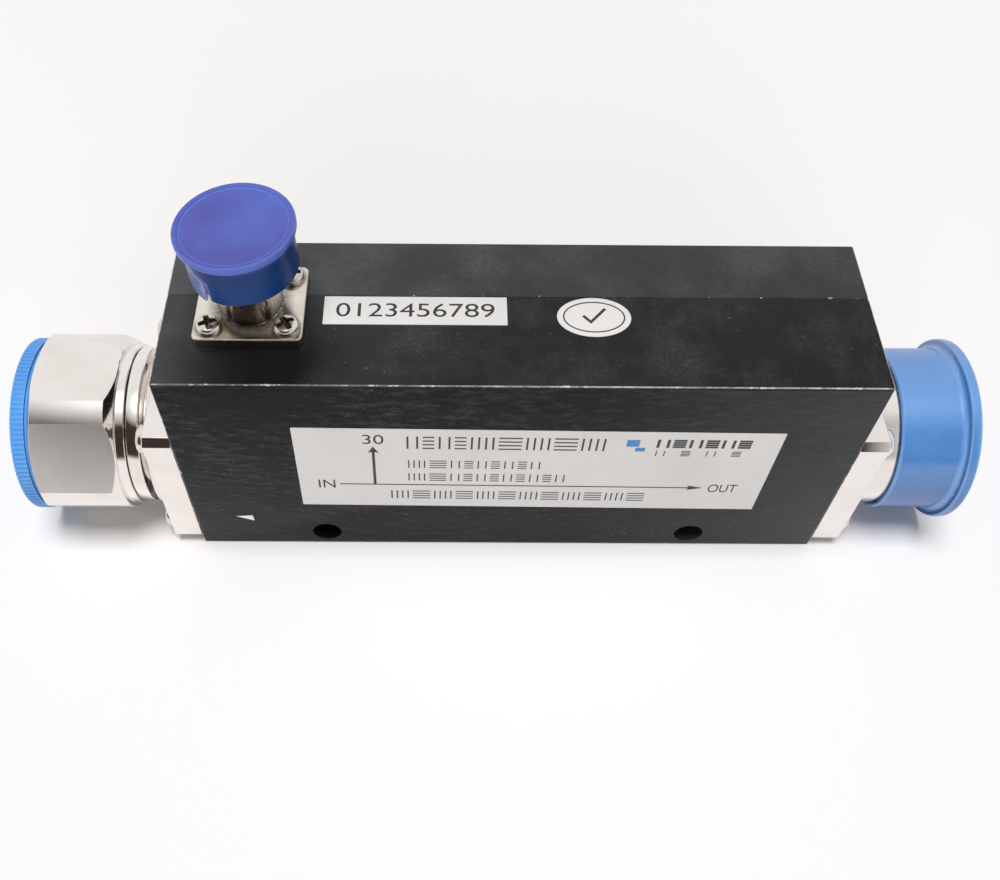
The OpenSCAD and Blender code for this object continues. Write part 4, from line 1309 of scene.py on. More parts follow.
@dataclass
class InputPlug:
    """The input plug: turned body, captive hex nut and ribbed dust cap.

    Places along the axis are counted from the block's end.
    """

    axes: Axes
    flange: EndFlange
    columns: int = 160
    bedded: float = 0.4
    collar: float = 15.3
    collar_to: float = 6.2
    groove: float = 11.5
    groove_to: float = 7.6
    neck: float = 12.5
    shoulder: float = 14.75
    shoulder_to: float = 9.95
    neck_to: float = 17.5
    nut_from: float = 11.7
    nut_to: float = 27.0
    nut_flat: float = 16.0
    nut_corner: float = 17.39
    nut_corner_mark: float = 0.25
    nut_rear: float = 15.9
    nut_rear_angle: float = 43.0
    nut_front: float = 15.8
    nut_front_angle: float = 30.0
    ring_seat: Pair = (13.85, 15.35)
    ring_seat_floor: float = 11.9
    ring_groove: Pair = (13.75, 15.45)
    ring_groove_floor: float = 13.45
    lip: float = 12.58
    boss: float = 15.2
    boss_from: float = 10.07
    thread_minor: float = 13.7
    thread_major: float = 14.5
    thread_lead: float = 0.3
    mouth_depth: float = 0.85
    pitch: float = 1.5
    sleeve: Pair = (8.0, 9.0)
    sleeve_to: float = 24.5
    fingers: int = 6
    finger_root: float = 0.2
    slot_from: float = 19.15
    slot_width: float = 0.6
    cap_rim: float = 16.2
    cap_from: float = 27.5
    cap_to: float = 30.0
    cap_ribs: int = 110
    cap_rib_depth: float = 0.14
    cap_plug: Pair = (12.4, 13.4)
    cap_plug_from: float = 20.6
    cap_ceiling: float = 28.55
    cap_step: float = 15.6
    cap_step_from: float = 27.1
    cap_band: float = 14.9
    cap_dish: float = 14.4
    cap_dish_floor: float = 29.65

    def body(self) -> Surface:
        """Flange, collar, groove, neck and slotted contact sleeve.

        Returns:
            The closed pieces of the body, which overlap.
        """
        bore, sleeve = self.sleeve
        seat_from, seat_to = self.ring_seat
        profile = [
            (self.bedded, bore, 0),
            (self.bedded, self.collar, 0),
            (self.collar_to, self.collar, 0.25),
            (self.collar_to, self.groove, 0.15),
            (self.groove_to, self.groove, 0.15),
            (self.groove_to, self.shoulder, 0.3),
            (self.shoulder_to, self.shoulder, 0.2),
            (self.shoulder_to, self.neck, 0),
            (seat_from, self.neck, 0.1),
            (seat_from, self.ring_seat_floor, 0),
            (seat_to, self.ring_seat_floor, 0),
            (seat_to, self.neck, 0.1),
            (self.neck_to, self.neck, 0.3),
            (self.neck_to, sleeve, 0.1),
            (self.slot_from, sleeve, 0),
            (self.slot_from, bore, 0),
            (self.bedded, bore, 0),
        ]
        parts = [self.flange.plate(self.axes), revolve(profile, self.axes, self.columns).welded()]
        gap = self.slot_width / sleeve / 2
        ends = (self.slot_from - self.finger_root, self.sleeve_to)
        for i in range(self.fingers):
            start = i * FULL_TURN / self.fingers
            turn = (start + gap, start + FULL_TURN / self.fingers - gap)
            parts.append(tube_sector(self.axes, self.sleeve, ends, turn))
        return Surface.joined(parts)

    def nut(self) -> Surface:
        """The hex nut, on columns that meet its corner edges and rows that follow its chamfer creases.

        At an angle f from the middle of a flat the outside radius is flat / cos f, held to the turned corner.
        A chamfer of angle c meets it at (radius - face radius) * tan c from the face, so each crease is its
        own curve, and a short quadratic curve rounds it. The mark is 1 on turned faces, less on the turned
        corners and 0 on the milled flats; it changes in the middle of each crease.

        Returns:
            The closed nut with its right-hand inner thread.
        """
        edge = math.acos(self.nut_flat / self.nut_corner)
        sixth = FULL_TURN / 6
        step = 0.003
        sector = np.concatenate((
            np.linspace(-sixth / 2, -edge, 7),
            np.linspace(step - edge, edge - step, 25),
            np.linspace(edge, sixth / 2, 7)[:-1],
        ))
        angle = (np.arange(6)[:, None] * sixth + sixth / 2 + sector[None]).reshape(-1)
        angle = np.append(angle, angle[0] + FULL_TURN)
        off_flat = angle % sixth - sixth / 2
        radius = np.minimum(self.nut_flat / np.cos(off_flat), self.nut_corner)
        rear = self.nut_from + (radius - self.nut_rear) * math.tan(math.radians(self.nut_rear_angle))
        front = self.nut_to - (radius - self.nut_front) * math.tan(math.radians(self.nut_front_angle))

        def line(along: Any, far: Any) -> Array:
            """Places along the axis and radii of one row."""
            return np.stack(np.broadcast_arrays(along, far, angle)[:2])

        thread_from, thread_to = self.neck_to + self.thread_lead, self.nut_to - self.mouth_depth
        lip, tail = line(self.boss_from, self.lip), line(self.boss_from, self.boss)
        foot, rear_face = line(self.nut_from, self.boss), line(self.nut_from, self.nut_rear)
        front_face, mouth = line(self.nut_to, self.nut_front), line(self.nut_to, self.thread_major + 0.05)
        rear_crease, front_crease = line(rear, radius), line(front, radius)
        rows = [lip]
        rows += eased(lip, tail, foot, 0.2)
        rows += eased(tail, foot, rear_face, 0.15)
        rows += eased(foot, rear_face, rear_crease, 0.15)
        first_side = len(rows) + 2
        rows += eased(rear_face, rear_crease, front_crease, 0.12)
        past_side = len(rows) + 3
        rows += eased(rear_crease, front_crease, front_face, 0.12)
        rows += eased(front_crease, front_face, mouth, 0.15)
        rows += [mouth, line(thread_to, self.thread_minor)]
        marks = np.ones((len(rows), len(angle)))
        marks[first_side:past_side] = self.nut_corner_mark * (np.abs(off_flat) > edge - step / 2)
        along, far = np.stack(rows, axis=1)
        outer = sheet(self.axes.point(along, far * np.cos(angle), far * np.sin(angle)), marks)
        thread = helix(
            self.axes, self.thread_major, self.thread_minor, self.pitch, thread_from, thread_to, self.columns
        )
        groove_from, groove_to = self.ring_groove
        profile = [
            (thread_from, self.thread_minor, 0),
            (self.neck_to, self.thread_minor, 0),
            (self.neck_to, self.lip, 0.2),
            (groove_to, self.lip, 0),
            (groove_to, self.ring_groove_floor, 0),
            (groove_from, self.ring_groove_floor, 0),
            (groove_from, self.lip, 0),
            (self.boss_from, self.lip, 0),
        ]
        bore = revolve(profile, self.axes, self.columns)
        return Surface.joined([outer.welded(), inside_out(thread).welded(), bore.welded()])

    def cap(self) -> Surface:
        """The dust cap: a hollow plug under a rim with fine ribs.

        The rim's radius is rim - depth * (1 - wave), where the wave has as many turns as there are ribs.

        Returns:
            The closed cap, with a painted highlight along its edges and rib crests.
        """
        rim, low, high = self.cap_rim, self.cap_from, self.cap_to
        plug_inner, plug_outer = self.cap_plug
        angle = ring_angles(self.cap_ribs * 6)
        wave = np.clip(0.5 - 0.9 * np.cos(self.cap_ribs * angle), 0, 1)
        inner = [
            (self.cap_ceiling, 0, 0),
            (self.cap_ceiling, plug_inner, 0.5),
            (self.cap_plug_from, plug_inner, 0.2),
            (self.cap_plug_from, plug_outer, 0.3),
            (self.cap_step_from, plug_outer, 0.2),
            (self.cap_step_from, self.cap_step, 0.12),
            (low, self.cap_step, 0.05),
            (low, rim - 0.2, 0),
        ]
        edge = [(low, rim - 0.25, 0), (low, rim, 0.2), (high, rim, 0.3), (high, self.cap_band, 0)]
        outer = [
            (high, self.cap_band, 0),
            (high, self.cap_dish, 0.15),
            (self.cap_dish_floor, self.cap_dish, 0.2),
            (self.cap_dish_floor, 0, 0),
        ]
        first, first_marks = arcs(inner, closed=False)
        middle, middle_marks = arcs(edge, closed=False)
        last, last_marks = arcs(outer, closed=False)
        profile = np.vstack((first, middle, last))
        marks = np.concatenate((first_marks * 0.2, middle_marks * 0.5, last_marks * 0.4))
        ribbed = (np.arange(len(profile)) >= len(first)) & (profile[:, 1] > rim - 0.35)
        radius = profile[:, 1:] - self.cap_rib_depth * ribbed[:, None] * (1 - wave[None])
        points = self.axes.point(profile[:, :1], radius * np.cos(angle), radius * np.sin(angle))
        # painted highlight along the edges and the rib crests
        pale = marks[:, None] + 0.25 * ribbed[:, None] * wave[None]
        return sheet(points, pale).welded()

    def build(self, maker: Maker) -> None:
        """Makes the plug's pieces and dresses the carried-over ones.

        Args:
            maker: What puts the pieces into the scene.
        """
        finishes = maker.finishes
        body, heads = self.body(), self.flange.screws(self.axes)
        maker.piece(
            "input_plug_body", body, finishes.turned, "coupler", "plated_brass", ("in_connector_body",)
        )
        maker.piece(
            "input_flange_screw_heads", heads, finishes.screw, "coupler", "screw", ("in_flange_screws",)
        )
        maker.piece(
            "hex_coupling_nut", self.nut(), finishes.nut, "nut", "plated_brass", ("coupling_nut",), crease=9.0
        )
        maker.piece(
            "input_dust_cap", self.cap(), finishes.rim_blue, "input_cap", "light_blue_cap", ("in_cap",)
        )
        maker.dress(finishes.silver, "in_centre_pin")
        maker.dress(finishes.fluoropolymer, "in_insulator")
        maker.dress(finishes.seal, "in_sealing_ring")
        maker.dress(finishes.screw, "nut_spring_ring")


@dataclass
class OutputSocket:
    """The output socket: flange, threaded barrel and flanged dust cap.

    Places along the axis are counted from the block's end.
    """

    axes: Axes
    flange: EndFlange
    columns: int = 160
    cap_columns: int = 192
    bedded: float = 0.4
    barrel: float = 14.4
    root: float = 13.55
    relief: float = 13.3
    relief_from: float = 10.2
    thread_from: float = 11.9
    thread_lead: float = 0.2
    barrel_to: float = 21.2
    mouth: float = 9.2
    mouth_from: float = 13.6
    bore: float = 8.0
    pitch: float = 1.5
    tube: Pair = (14.5, 15.25)
    tube_from: float = 9.9
    rim_from: float = 21.5
    rim_to: float = 23.5
    rim: float = 17.05
    dish: float = 13.6
    dish_depth: float = 0.9

    def body(self) -> Surface:
        """Flange, shoulder, thread relief, M29 thread and mouth.

        Returns:
            The closed flange and barrel, which overlap.
        """
        thread_from, thread_to = self.thread_from + self.thread_lead, self.barrel_to - self.thread_lead
        base = [
            (self.bedded, self.bore, 0),
            (self.bedded, self.barrel, 0),
            (self.relief_from, self.barrel, 0.25),
            (self.relief_from, self.relief, 0.2),
            (self.thread_from, self.relief, 0),
            (thread_from, self.root, 0),
        ]
        end = [
            (thread_to, self.root, 0),
            (self.barrel_to, self.root - 0.25, 0.1),
            (self.barrel_to, self.mouth, 0.3),
            (self.mouth_from, self.mouth, 0.1),
            (self.mouth_from, self.bore, 0.2),
            (self.bedded, self.bore, 0),
        ]
        thread = helix(self.axes, self.barrel, self.root, self.pitch, thread_from, thread_to, self.columns)
        turned = [revolve(base, self.axes, self.columns), thread, revolve(end, self.axes, self.columns)]
        return Surface.joined([self.flange.plate(self.axes), Surface.joined(turned).welded()])

    def cap(self) -> Surface:
        """The dust cap: a thin tube that flares into a wide rim at its closed end.

        Returns:
            The closed cap, with a painted highlight along its edges.
        """
        inner, outer = self.tube
        dish_floor = self.rim_to - self.dish_depth
        profile = [
            (self.rim_from, 0, 0),
            (self.rim_from, inner, 0.5),
            (self.tube_from, inner, 0.1),
            (self.tube_from, outer, 0.55),
            (self.rim_from, outer, 1.1),
            (self.rim_from, self.rim, 0.45),
            (self.rim_to, self.rim, 0.6),
            (self.rim_to, self.dish, 0.3),
            (dish_floor, self.dish, 0.3),
            (dish_floor, 0, 0),
        ]
        # marks for a painted highlight along the cap's edges
        return revolve(profile, self.axes, self.cap_columns).welded().marked(0.5)

    def build(self, maker: Maker) -> None:
        """Makes the socket's pieces and dresses the carried-over ones.

        Args:
            maker: What puts the pieces into the scene.
        """
        finishes = maker.finishes
        body, heads = self.body(), self.flange.screws(self.axes)
        maker.piece(
            "output_socket_body", body, finishes.turned, "coupler", "plated_brass", ("out_connector_body",)
        )
        maker.piece(
            "output_flange_screw_heads", heads, finishes.screw, "coupler", "screw", ("out_flange_screws",)
        )
        maker.piece(
            "output_dust_cap", self.cap(), finishes.tube_blue, "output_cap", "light_blue_cap", ("out_cap",)
        )
        maker.dress(finishes.silver, "out_centre_socket")
        maker.dress(finishes.fluoropolymer, "out_insulator")


@dataclass
class CoupledPort:
    """The coupled port on top: square flange, neck, fine thread, four screws and the split cap.

    Heights are counted from the block's top, and those within the cap from the underside of its disc.
    """

    x: float = -44.6
    top: float = 50.0
    columns: int = 128
    width: float = 18.0
    depth: float = 16.4
    corner: float = 1.1
    edge: float = 0.22
    flange: float = 1.8
    bedded: float = 0.1
    neck: float = 5.2
    foot: float = 5.32
    foot_rise: float = 0.15
    shade_fall: float = 3.0
    barrel_from: float = 9.0
    barrel_to: float = 17.1
    thread: float = 7.9
    thread_lead: float = 0.1
    root: float = 7.35
    pitch: float = 1.058
    mouth: float = 5.4
    mouth_depth: float = 3.2
    bore: float = 4.0
    screw_spacing: float = 12.6
    screw_rows: float = 11.2
    screw_turns: tuple[float, ...] = (20.0, 33.0, 8.0, 40.0)
    head_radius: float = 2.1
    head_height: float = 1.5
    head_rim: float = 0.65
    tilt: float = 3.0
    cap_columns: int = 160
    skirt: float = 7.3
    skirt_inner: float = 8.25
    skirt_outer: float = 8.8
    skirt_bedded: float = 0.06
    rim: float = 9.6
    rim_mark: float = 0.4
    ceiling: float = 17.813
    disc: float = 1.45
    disc_step: Pair = (8.7, 8.8)
    disc_step_rise: float = 0.05
    dish: Pair = (8.5, 8.85)
    dish_floor: float = 1.1
    split_turn: float = -122.0
    split_height: float = 4.0
    split_width: float = 0.6
    split_narrowing: float = 0.35
    tear_lean: float = 52.0
    tear_width: float = 0.22
    tear_widening: float = 0.2
    free_lip_out: float = 0.32
    free_lip_share: float = 0.1
    held_lip_in: float = 0.1
    held_lip_share: float = 0.04

    def axes(self) -> Axes:
        """The port's upright frame on the block's top."""
        return Axes.at((self.x, 0, self.top), (0, 0, 1), (1, 0, 0))

    def body(self) -> Surface:
        """Square flange with round corners, turned neck, thread and mouth.

        Returns:
            The closed flange and barrel, marked for painted shade at the foot of the neck and, at half
            strength, along the plate's rounded edges.
        """
        axes = self.axes()
        w, d, r = self.width / 2, self.depth / 2, self.corner
        outline, _ = arcs([(w, -d, r), (w, d, r), (-w, d, r), (-w, -d, r)], closed=True, steps=8)
        plate = prism(outline, axes, 0, self.flange, self.edge, bored(outline, self.bore))
        thread_to, mouth_to = self.barrel_to - self.thread_lead, self.barrel_to - self.mouth_depth
        base = [
            (self.bedded, self.bore, 0),
            (self.bedded, self.foot, 0),
            (self.flange, self.foot, 0),
            (self.flange + self.foot_rise, self.neck, 0.1),
            (self.barrel_from, self.neck, 0.15),
            (self.barrel_from, self.root, 0),
        ]
        end = [
            (thread_to, self.root, 0),
            (self.barrel_to, self.root - 0.2, 0.1),
            (self.barrel_to, self.mouth, 0.25),
            (mouth_to, self.mouth, 0.1),
            (mouth_to, self.bore, 0.1),
            (self.bedded, self.bore, 0),
        ]
        thread = helix(axes, self.thread, self.root, self.pitch, self.barrel_from, thread_to, self.columns)
        shaft = revolve(base, axes, self.columns)
        # painted shade at the foot of the neck, less higher up
        above = np.clip(shaft.points[:, 2] - self.top - self.flange, 0, None)
        shaft.marks = np.exp(-above / self.shade_fall)
        inside = revolve(end, axes, self.columns)
        turned = Surface.joined([shaft, thread.marked(0), inside.marked(0)]).welded()
        return Surface.joined([plate.marked(0.5), turned])

    def screws(self) -> Surface:
        """Four heads at the corners of the flange, each turned its own way.

        Returns:
            The closed heads.
        """
        w, d = self.screw_spacing / 2, self.screw_rows / 2
        heads = []
        for (b, c), turn in zip(((-w, -d), (w, -d), (w, d), (-w, d)), self.screw_turns):
            place = tuple(self.axes().point(self.flange, b, c))
            across = (math.cos(math.radians(turn)), math.sin(math.radians(turn)), 0)
            seat = Axes.at(place, (0, 0, 1), across)
            heads.append(cross_head(seat, self.head_radius, self.head_height, self.head_rim))
        return Surface.joined(heads)

    def cap_axes(self) -> Axes:
        """The cap's frame at the underside of its disc, leaning towards the input.

        Returns:
            The leaning frame.
        """
        lean = math.radians(self.tilt)
        shift = self.skirt / 2 * math.sin(lean)
        origin = (self.x - shift, 0, self.top + self.ceiling)
        return Axes.at(origin, (-math.sin(lean), 0, math.cos(lean)), (math.cos(lean), 0, math.sin(lean)))

    def cap_disc(self, axes: Axes) -> Surface:
        """The cap's disc, with a step under its rim and a shallow dish on top.

        Args:
            axes: The cap's frame.

        Returns:
            The closed disc, with a painted highlight along its rim.
        """
        step_inner, step_outer = self.disc_step
        dish_inner, dish_outer = self.dish
        profile = [
            (0, 0, 0),
            (0, step_inner, 0.05),
            (self.disc_step_rise, step_outer, 0),
            (self.disc_step_rise, self.rim, 0.25),
            (self.disc, self.rim, 0.42),
            (self.disc, dish_outer, 0.2),
            (self.dish_floor, dish_inner, 0.5),
            (self.dish_floor, 0, 0),
        ]
        disc = revolve(profile, axes, self.cap_columns).welded().marked(0.45)
        away = disc.points - axes.origin
        far = np.linalg.norm(away - np.outer(away @ axes.along, axes.along), axis=1)
        # painted highlight along the rim
        disc.marks = np.where(far > self.rim - 0.25, self.rim_mark, disc.marks)
        return disc

    def cap_skirt(self, axes: Axes) -> Surface:
        """The cap's skirt, which is torn along a line.

        The tear runs straight up for the split's height, then leans away at arc = rise * tan(lean). The
        skirt's columns run from one lip of the tear round to the other, so the gap is the grid's own seam.
        The free lip stands out and the held one stands in, both by a share that falls off from the tear.

        Args:
            axes: The cap's frame.

        Returns:
            The closed skirt, pale along the tear.
        """
        rise = np.linspace(-self.skirt, self.skirt_bedded, 40)
        up = rise + self.skirt
        above = np.clip(up - self.split_height, 0, None)
        lean = math.tan(math.radians(self.tear_lean))
        tear = math.radians(self.split_turn) - above * lean / self.skirt_outer
        slit = self.split_width * (1 - self.split_narrowing * up / self.split_height)
        torn = self.tear_widening * (1 - above / above.max()) + self.tear_width
        gap = np.where(above > 0, torn, slit)[:, None] / self.skirt_outer
        share = np.linspace(0, 1, self.cap_columns + 1)[None]
        angle = tear[:, None] + gap / 2 + share * (FULL_TURN - gap)
        lower = np.clip(1 - up / self.skirt, 0, 1)[:, None]
        free_lip = np.clip((share - 1 + self.free_lip_share) / self.free_lip_share, 0, 1) ** 2
        held_lip = np.clip((self.held_lip_share - share) / self.held_lip_share, 0, 1)
        flare = self.free_lip_out * lower * free_lip - self.held_lip_in * lower * held_lip
        apart = np.minimum(share, 1 - share) * FULL_TURN * self.skirt_outer
        pale = 0.8 * np.exp(-((apart / 0.3) ** 2)) + 0.6 * np.exp(-((apart / 2.4) ** 2)) * (share > 0.5)
        pale = np.broadcast_to(pale, angle.shape)

        def shell(radius: float) -> Array:
            """Places of the skirt at one radius."""
            far = radius + flare
            return axes.point(rise[:, None], far * np.cos(angle), far * np.sin(angle))

        outer, inner = shell(self.skirt_outer), shell(self.skirt_inner)
        lip_marks = np.ones((len(rise), 2))
        parts = [
            sheet(outer, pale),
            inside_out(sheet(inner, pale)),
            sheet(np.stack((inner[0], outer[0])), np.stack((pale[0], pale[0]))),
            sheet(np.stack((outer[-1], inner[-1]))),
            sheet(np.stack((inner[:, 0], outer[:, 0]), axis=1), lip_marks),
            sheet(np.stack((outer[:, -1], inner[:, -1]), axis=1), lip_marks),
        ]
        return Surface.joined(parts).welded()

    def build(self, maker: Maker) -> None:
        """Makes the port's pieces and dresses the carried-over ones.

        Args:
            maker: What puts the pieces into the scene.
        """
        finishes = maker.finishes
        body, heads = self.body(), self.screws()
        maker.piece(
            "coupled_port_body", body, finishes.port, "coupler", "plated_brass", ("tap_connector_body",)
        )
        maker.piece("port_screw_heads", heads, finishes.screw, "coupler", "screw", ("tap_flange_screws",))
        axes = self.cap_axes()
        cap = Surface.joined([self.cap_disc(axes), self.cap_skirt(axes)])
        maker.piece(
            "port_dust_cap", cap, finishes.port_blue, "coupled_cap", "dark_blue_cap", ("tap_cap",), crease=40
        )
        maker.dress(finishes.silver, "tap_centre_socket")
        maker.dress(finishes.fluoropolymer, "tap_insulator")


@dataclass
class Stickers:
    """The three stickers and their plain print; places on a sticker run from its middle."""

    film: float = 0.15
    film_edge: float = 0.04
    film_corner: float = 0.15
    edge_mark: float = 0.25
    ink: float = 0.02
    ink_bedded: float = 0.01
    front_place: Corner = (3.4, -16.0, 26.0)
    front_size: Pair = (83.7, 24.2)
    front_slant: float = 0.65
    number_place: Corner = (-17.4, -0.1, 50.0)
    number_size: Pair = (30.7, 6.2)
    digits_place: Pair = (0.0, 0.1)
    digits_size: Pair = (26.5, 3.0)
    oval_place: Corner = (12.4, -1.3, 50.0)
    oval_size: Pair = (12.4, 8.6)
    ring_outer: Pair = (5.2, 3.4)
    ring_inner: Pair = (4.95, 3.15)

    def front_axes(self) -> Axes:
        """The front label's frame, lower at the output end."""
        slant = math.radians(self.front_slant)
        return Axes.at(self.front_place, (0, -1, 0), (math.cos(slant), 0, -math.sin(slant)))

    def number_axes(self) -> Axes:
        """The number label's frame on top of the block."""
        return Axes.at(self.number_place, (0, 0, 1), (1, 0, 0))

    def oval_axes(self) -> Axes:
        """The oval label's frame on top of the block."""
        return Axes.at(self.oval_place, (0, 0, 1), (1, 0, 0))

    def oblong(self, size: Pair, axes: Axes) -> Surface:
        """A sheet of film with small round corners.

        Args:
            size: Its width and height.
            axes: Its frame.

        Returns:
            The closed sheet.
        """
        w, d, r = size[0] / 2, size[1] / 2, self.film_corner
        outline, marks = arcs([(w, -d, r), (w, d, r), (-w, d, r), (-w, -d, r)], closed=True)
        return prism(outline, axes, 0, self.film, self.film_edge, corner_marks=marks * self.edge_mark)

    def inked(self, outline: Array, axes: Axes, hole: Array | None = None) -> Surface:
        """A printed shape that starts a little inside the film."""
        return prism(outline, axes, self.film - self.ink_bedded, self.film + self.ink, hole=hole)

    def bar(self, axes: Axes, low: Pair, high: Pair) -> Surface:
        """A plain printed bar between two corners."""
        return self.inked(np.array([low, (high[0], low[1]), high, (low[0], high[1])], float), axes)

    def dart(self, axes: Axes, tip: Pair, length: float, half: float, turn: float) -> Surface:
        """A printed arrow head.

        Args:
            axes: The sheet's frame.
            tip: Place of its tip.
            length: Its length.
            half: Half its width.
            turn: Its way in degrees, from the sheet's width towards its height.

        Returns:
            The closed head.
        """
        c, s = math.cos(math.radians(turn)), math.sin(math.radians(turn))
        flat = np.array([(0, 0), (-length, half), (-length * 0.8, 0), (-length, -half)])
        return self.inked(np.array(tip) + flat @ np.array([(c, s), (-s, c)]), axes)

    def cells(
        self,
        axes: Axes,
        row: float,
        start: float,
        lengths: list[float],
        height: float,
        gap: float,
        stroke: float,
    ) -> list[Surface]:
        """A row of hatched cells, as long as a line of print.

        Args:
            axes: The sheet's frame.
            row: Height of the row's middle.
            start: Where the row starts.
            lengths: Lengths of the cells.
            height: Height of the cells.
            gap: Distance between them.
            stroke: Thickness of a stroke.

        Returns:
            The strokes: upright ones and level ones by turns from cell to cell.
        """
        parts = []
        place = start
        low, high = row - height / 2, row + height / 2
        for i, length in enumerate(lengths):
            if i % 2:
                for y in np.linspace(low, high - stroke, 4):
                    parts.append(self.bar(axes, (place, y), (place + length, y + stroke)))
            else:
                count = max(2, round(length / stroke / 3.2))
                for x in np.linspace(place, place + length - stroke, count):
                    parts.append(self.bar(axes, (x, low), (x + stroke, high)))
            place += length + gap
        return parts

    def front_print(self) -> tuple[list[Surface], list[Surface]]:
        """The front label's print.

        Returns:
            The signal path, port marks and hatched rows in black, and the plain fields in blue.
        """
        axes = self.front_axes()
        over = axes.moved(self.film - self.ink_bedded, 0, 0)
        black = [
            self.bar(axes, (-34.5, -5.03), (29.0, -4.75)),
            self.dart(axes, (31.0, -4.89), length=2.9, half=0.75, turn=0),
            self.bar(axes, (-28.45, -4.9), (-27.95, 5.6)),
            self.dart(axes, (-28.2, 7.0), length=1.9, half=0.95, turn=90),
            lettering("IN", over, (-36.9, -4.9), (3.0, 2.6), self.ink),
            lettering("OUT", over, (34.7, -5.0), (5.2, 2.6), self.ink),
            lettering("30", over, (-28.1, 9.1), (3.6, 2.7), self.ink),
        ]
        large = {"height": 3.6, "gap": 0.75, "stroke": 0.34}
        plain = {"height": 2.3, "gap": 0.75, "stroke": 0.24}
        black += self.cells(axes, 8.3, -22.4, [2.0] * 4 + [4.0] * 5, **large)
        black += self.cells(axes, 1.75, -22.2, [3.0] * 2 + [1.6] * 7, **plain)
        black += self.cells(axes, -2.35, -22.2, [3.0] * 2 + [1.6] * 9, **plain)
        black += self.cells(axes, -8.2, -25.4, [3.2] * 12, height=2.6, gap=0.72, stroke=0.26)
        black += self.cells(axes, 8.9, 20.4, [2.2] * 6, height=2.4, gap=0.6, stroke=0.5)
        black += self.cells(axes, 6.0, 20.6, [1.6] * 4, height=1.5, gap=2.8, stroke=0.2)
        blue = [self.bar(axes, (15.2, 7.9), (17.4, 9.9)), self.bar(axes, (16.9, 6.5), (18.6, 7.6))]
        return black, blue

    def oval(self) -> tuple[Surface, list[Surface]]:
        """The oval label and its print.

        Returns:
            The film, and a thin oval ring and a tick.
        """
        axes = self.oval_axes()
        angle = ring_angles(96)[:-1]
        circle = np.stack((np.cos(angle), np.sin(angle)), axis=1)
        label = prism(circle * np.array(self.oval_size) / 2, axes, 0, self.film, self.film_edge)
        ring = self.inked(circle * self.ring_outer, axes, circle * self.ring_inner)
        tick = np.array([(-2.0, 0.1), (-0.6, -1.5), (2.2, 1.7), (1.75, 2.0), (-0.6, -0.75), (-1.6, 0.45)])
        return label, [ring, self.inked(tick, axes)]

    def build(self, maker: Maker) -> None:
        """Makes the stickers and lays their print on them.

        Args:
            maker: What puts the pieces into the scene.
        """
        finishes = maker.finishes
        film, ink = finishes.sticker, finishes.ink
        black, blue = self.front_print()
        sheet_of_film = self.oblong(self.front_size, self.front_axes())
        maker.piece("front_label_film", sheet_of_film, film, "coupler", "sticker", ("front_label",))
        maker.piece("front_label_marks", Surface.joined(black), ink, "coupler", "sticker")
        maker.piece("front_label_fields", Surface.joined(blue), finishes.blue_ink, "coupler", "sticker")
        axes = self.number_axes()
        sheet_of_film = self.oblong(self.number_size, axes)
        maker.piece("number_label_film", sheet_of_film, film, "coupler", "sticker", ("number_label",))
        over = axes.moved(self.film - self.ink_bedded, 0, 0)
        digits = lettering("0123456789", over, self.digits_place, self.digits_size, self.ink)
        maker.piece("number_label_digits", digits, ink, "coupler", "sticker")
        label, mark = self.oval()
        maker.piece("oval_label_film", label, film, "coupler", "sticker", ("oval_label",))
        maker.piece("oval_label_tick", Surface.joined(mark), ink, "coupler", "sticker")


class InnerParts:
    """The parts inside the block, which are carried over from the CAD frame."""

    def build(self, maker: Maker) -> None:
        """Dresses the conductors, posts and resistor.

        Args:
            maker: What holds the CAD nodes and the finishes.
        """
        maker.dress(maker.finishes.silver, "main_line", "coupled_strip")
        maker.dress(maker.finishes.fluoropolymer, "strip_posts")
        maker.dress(maker.finishes.ceramic, "load_resistor")


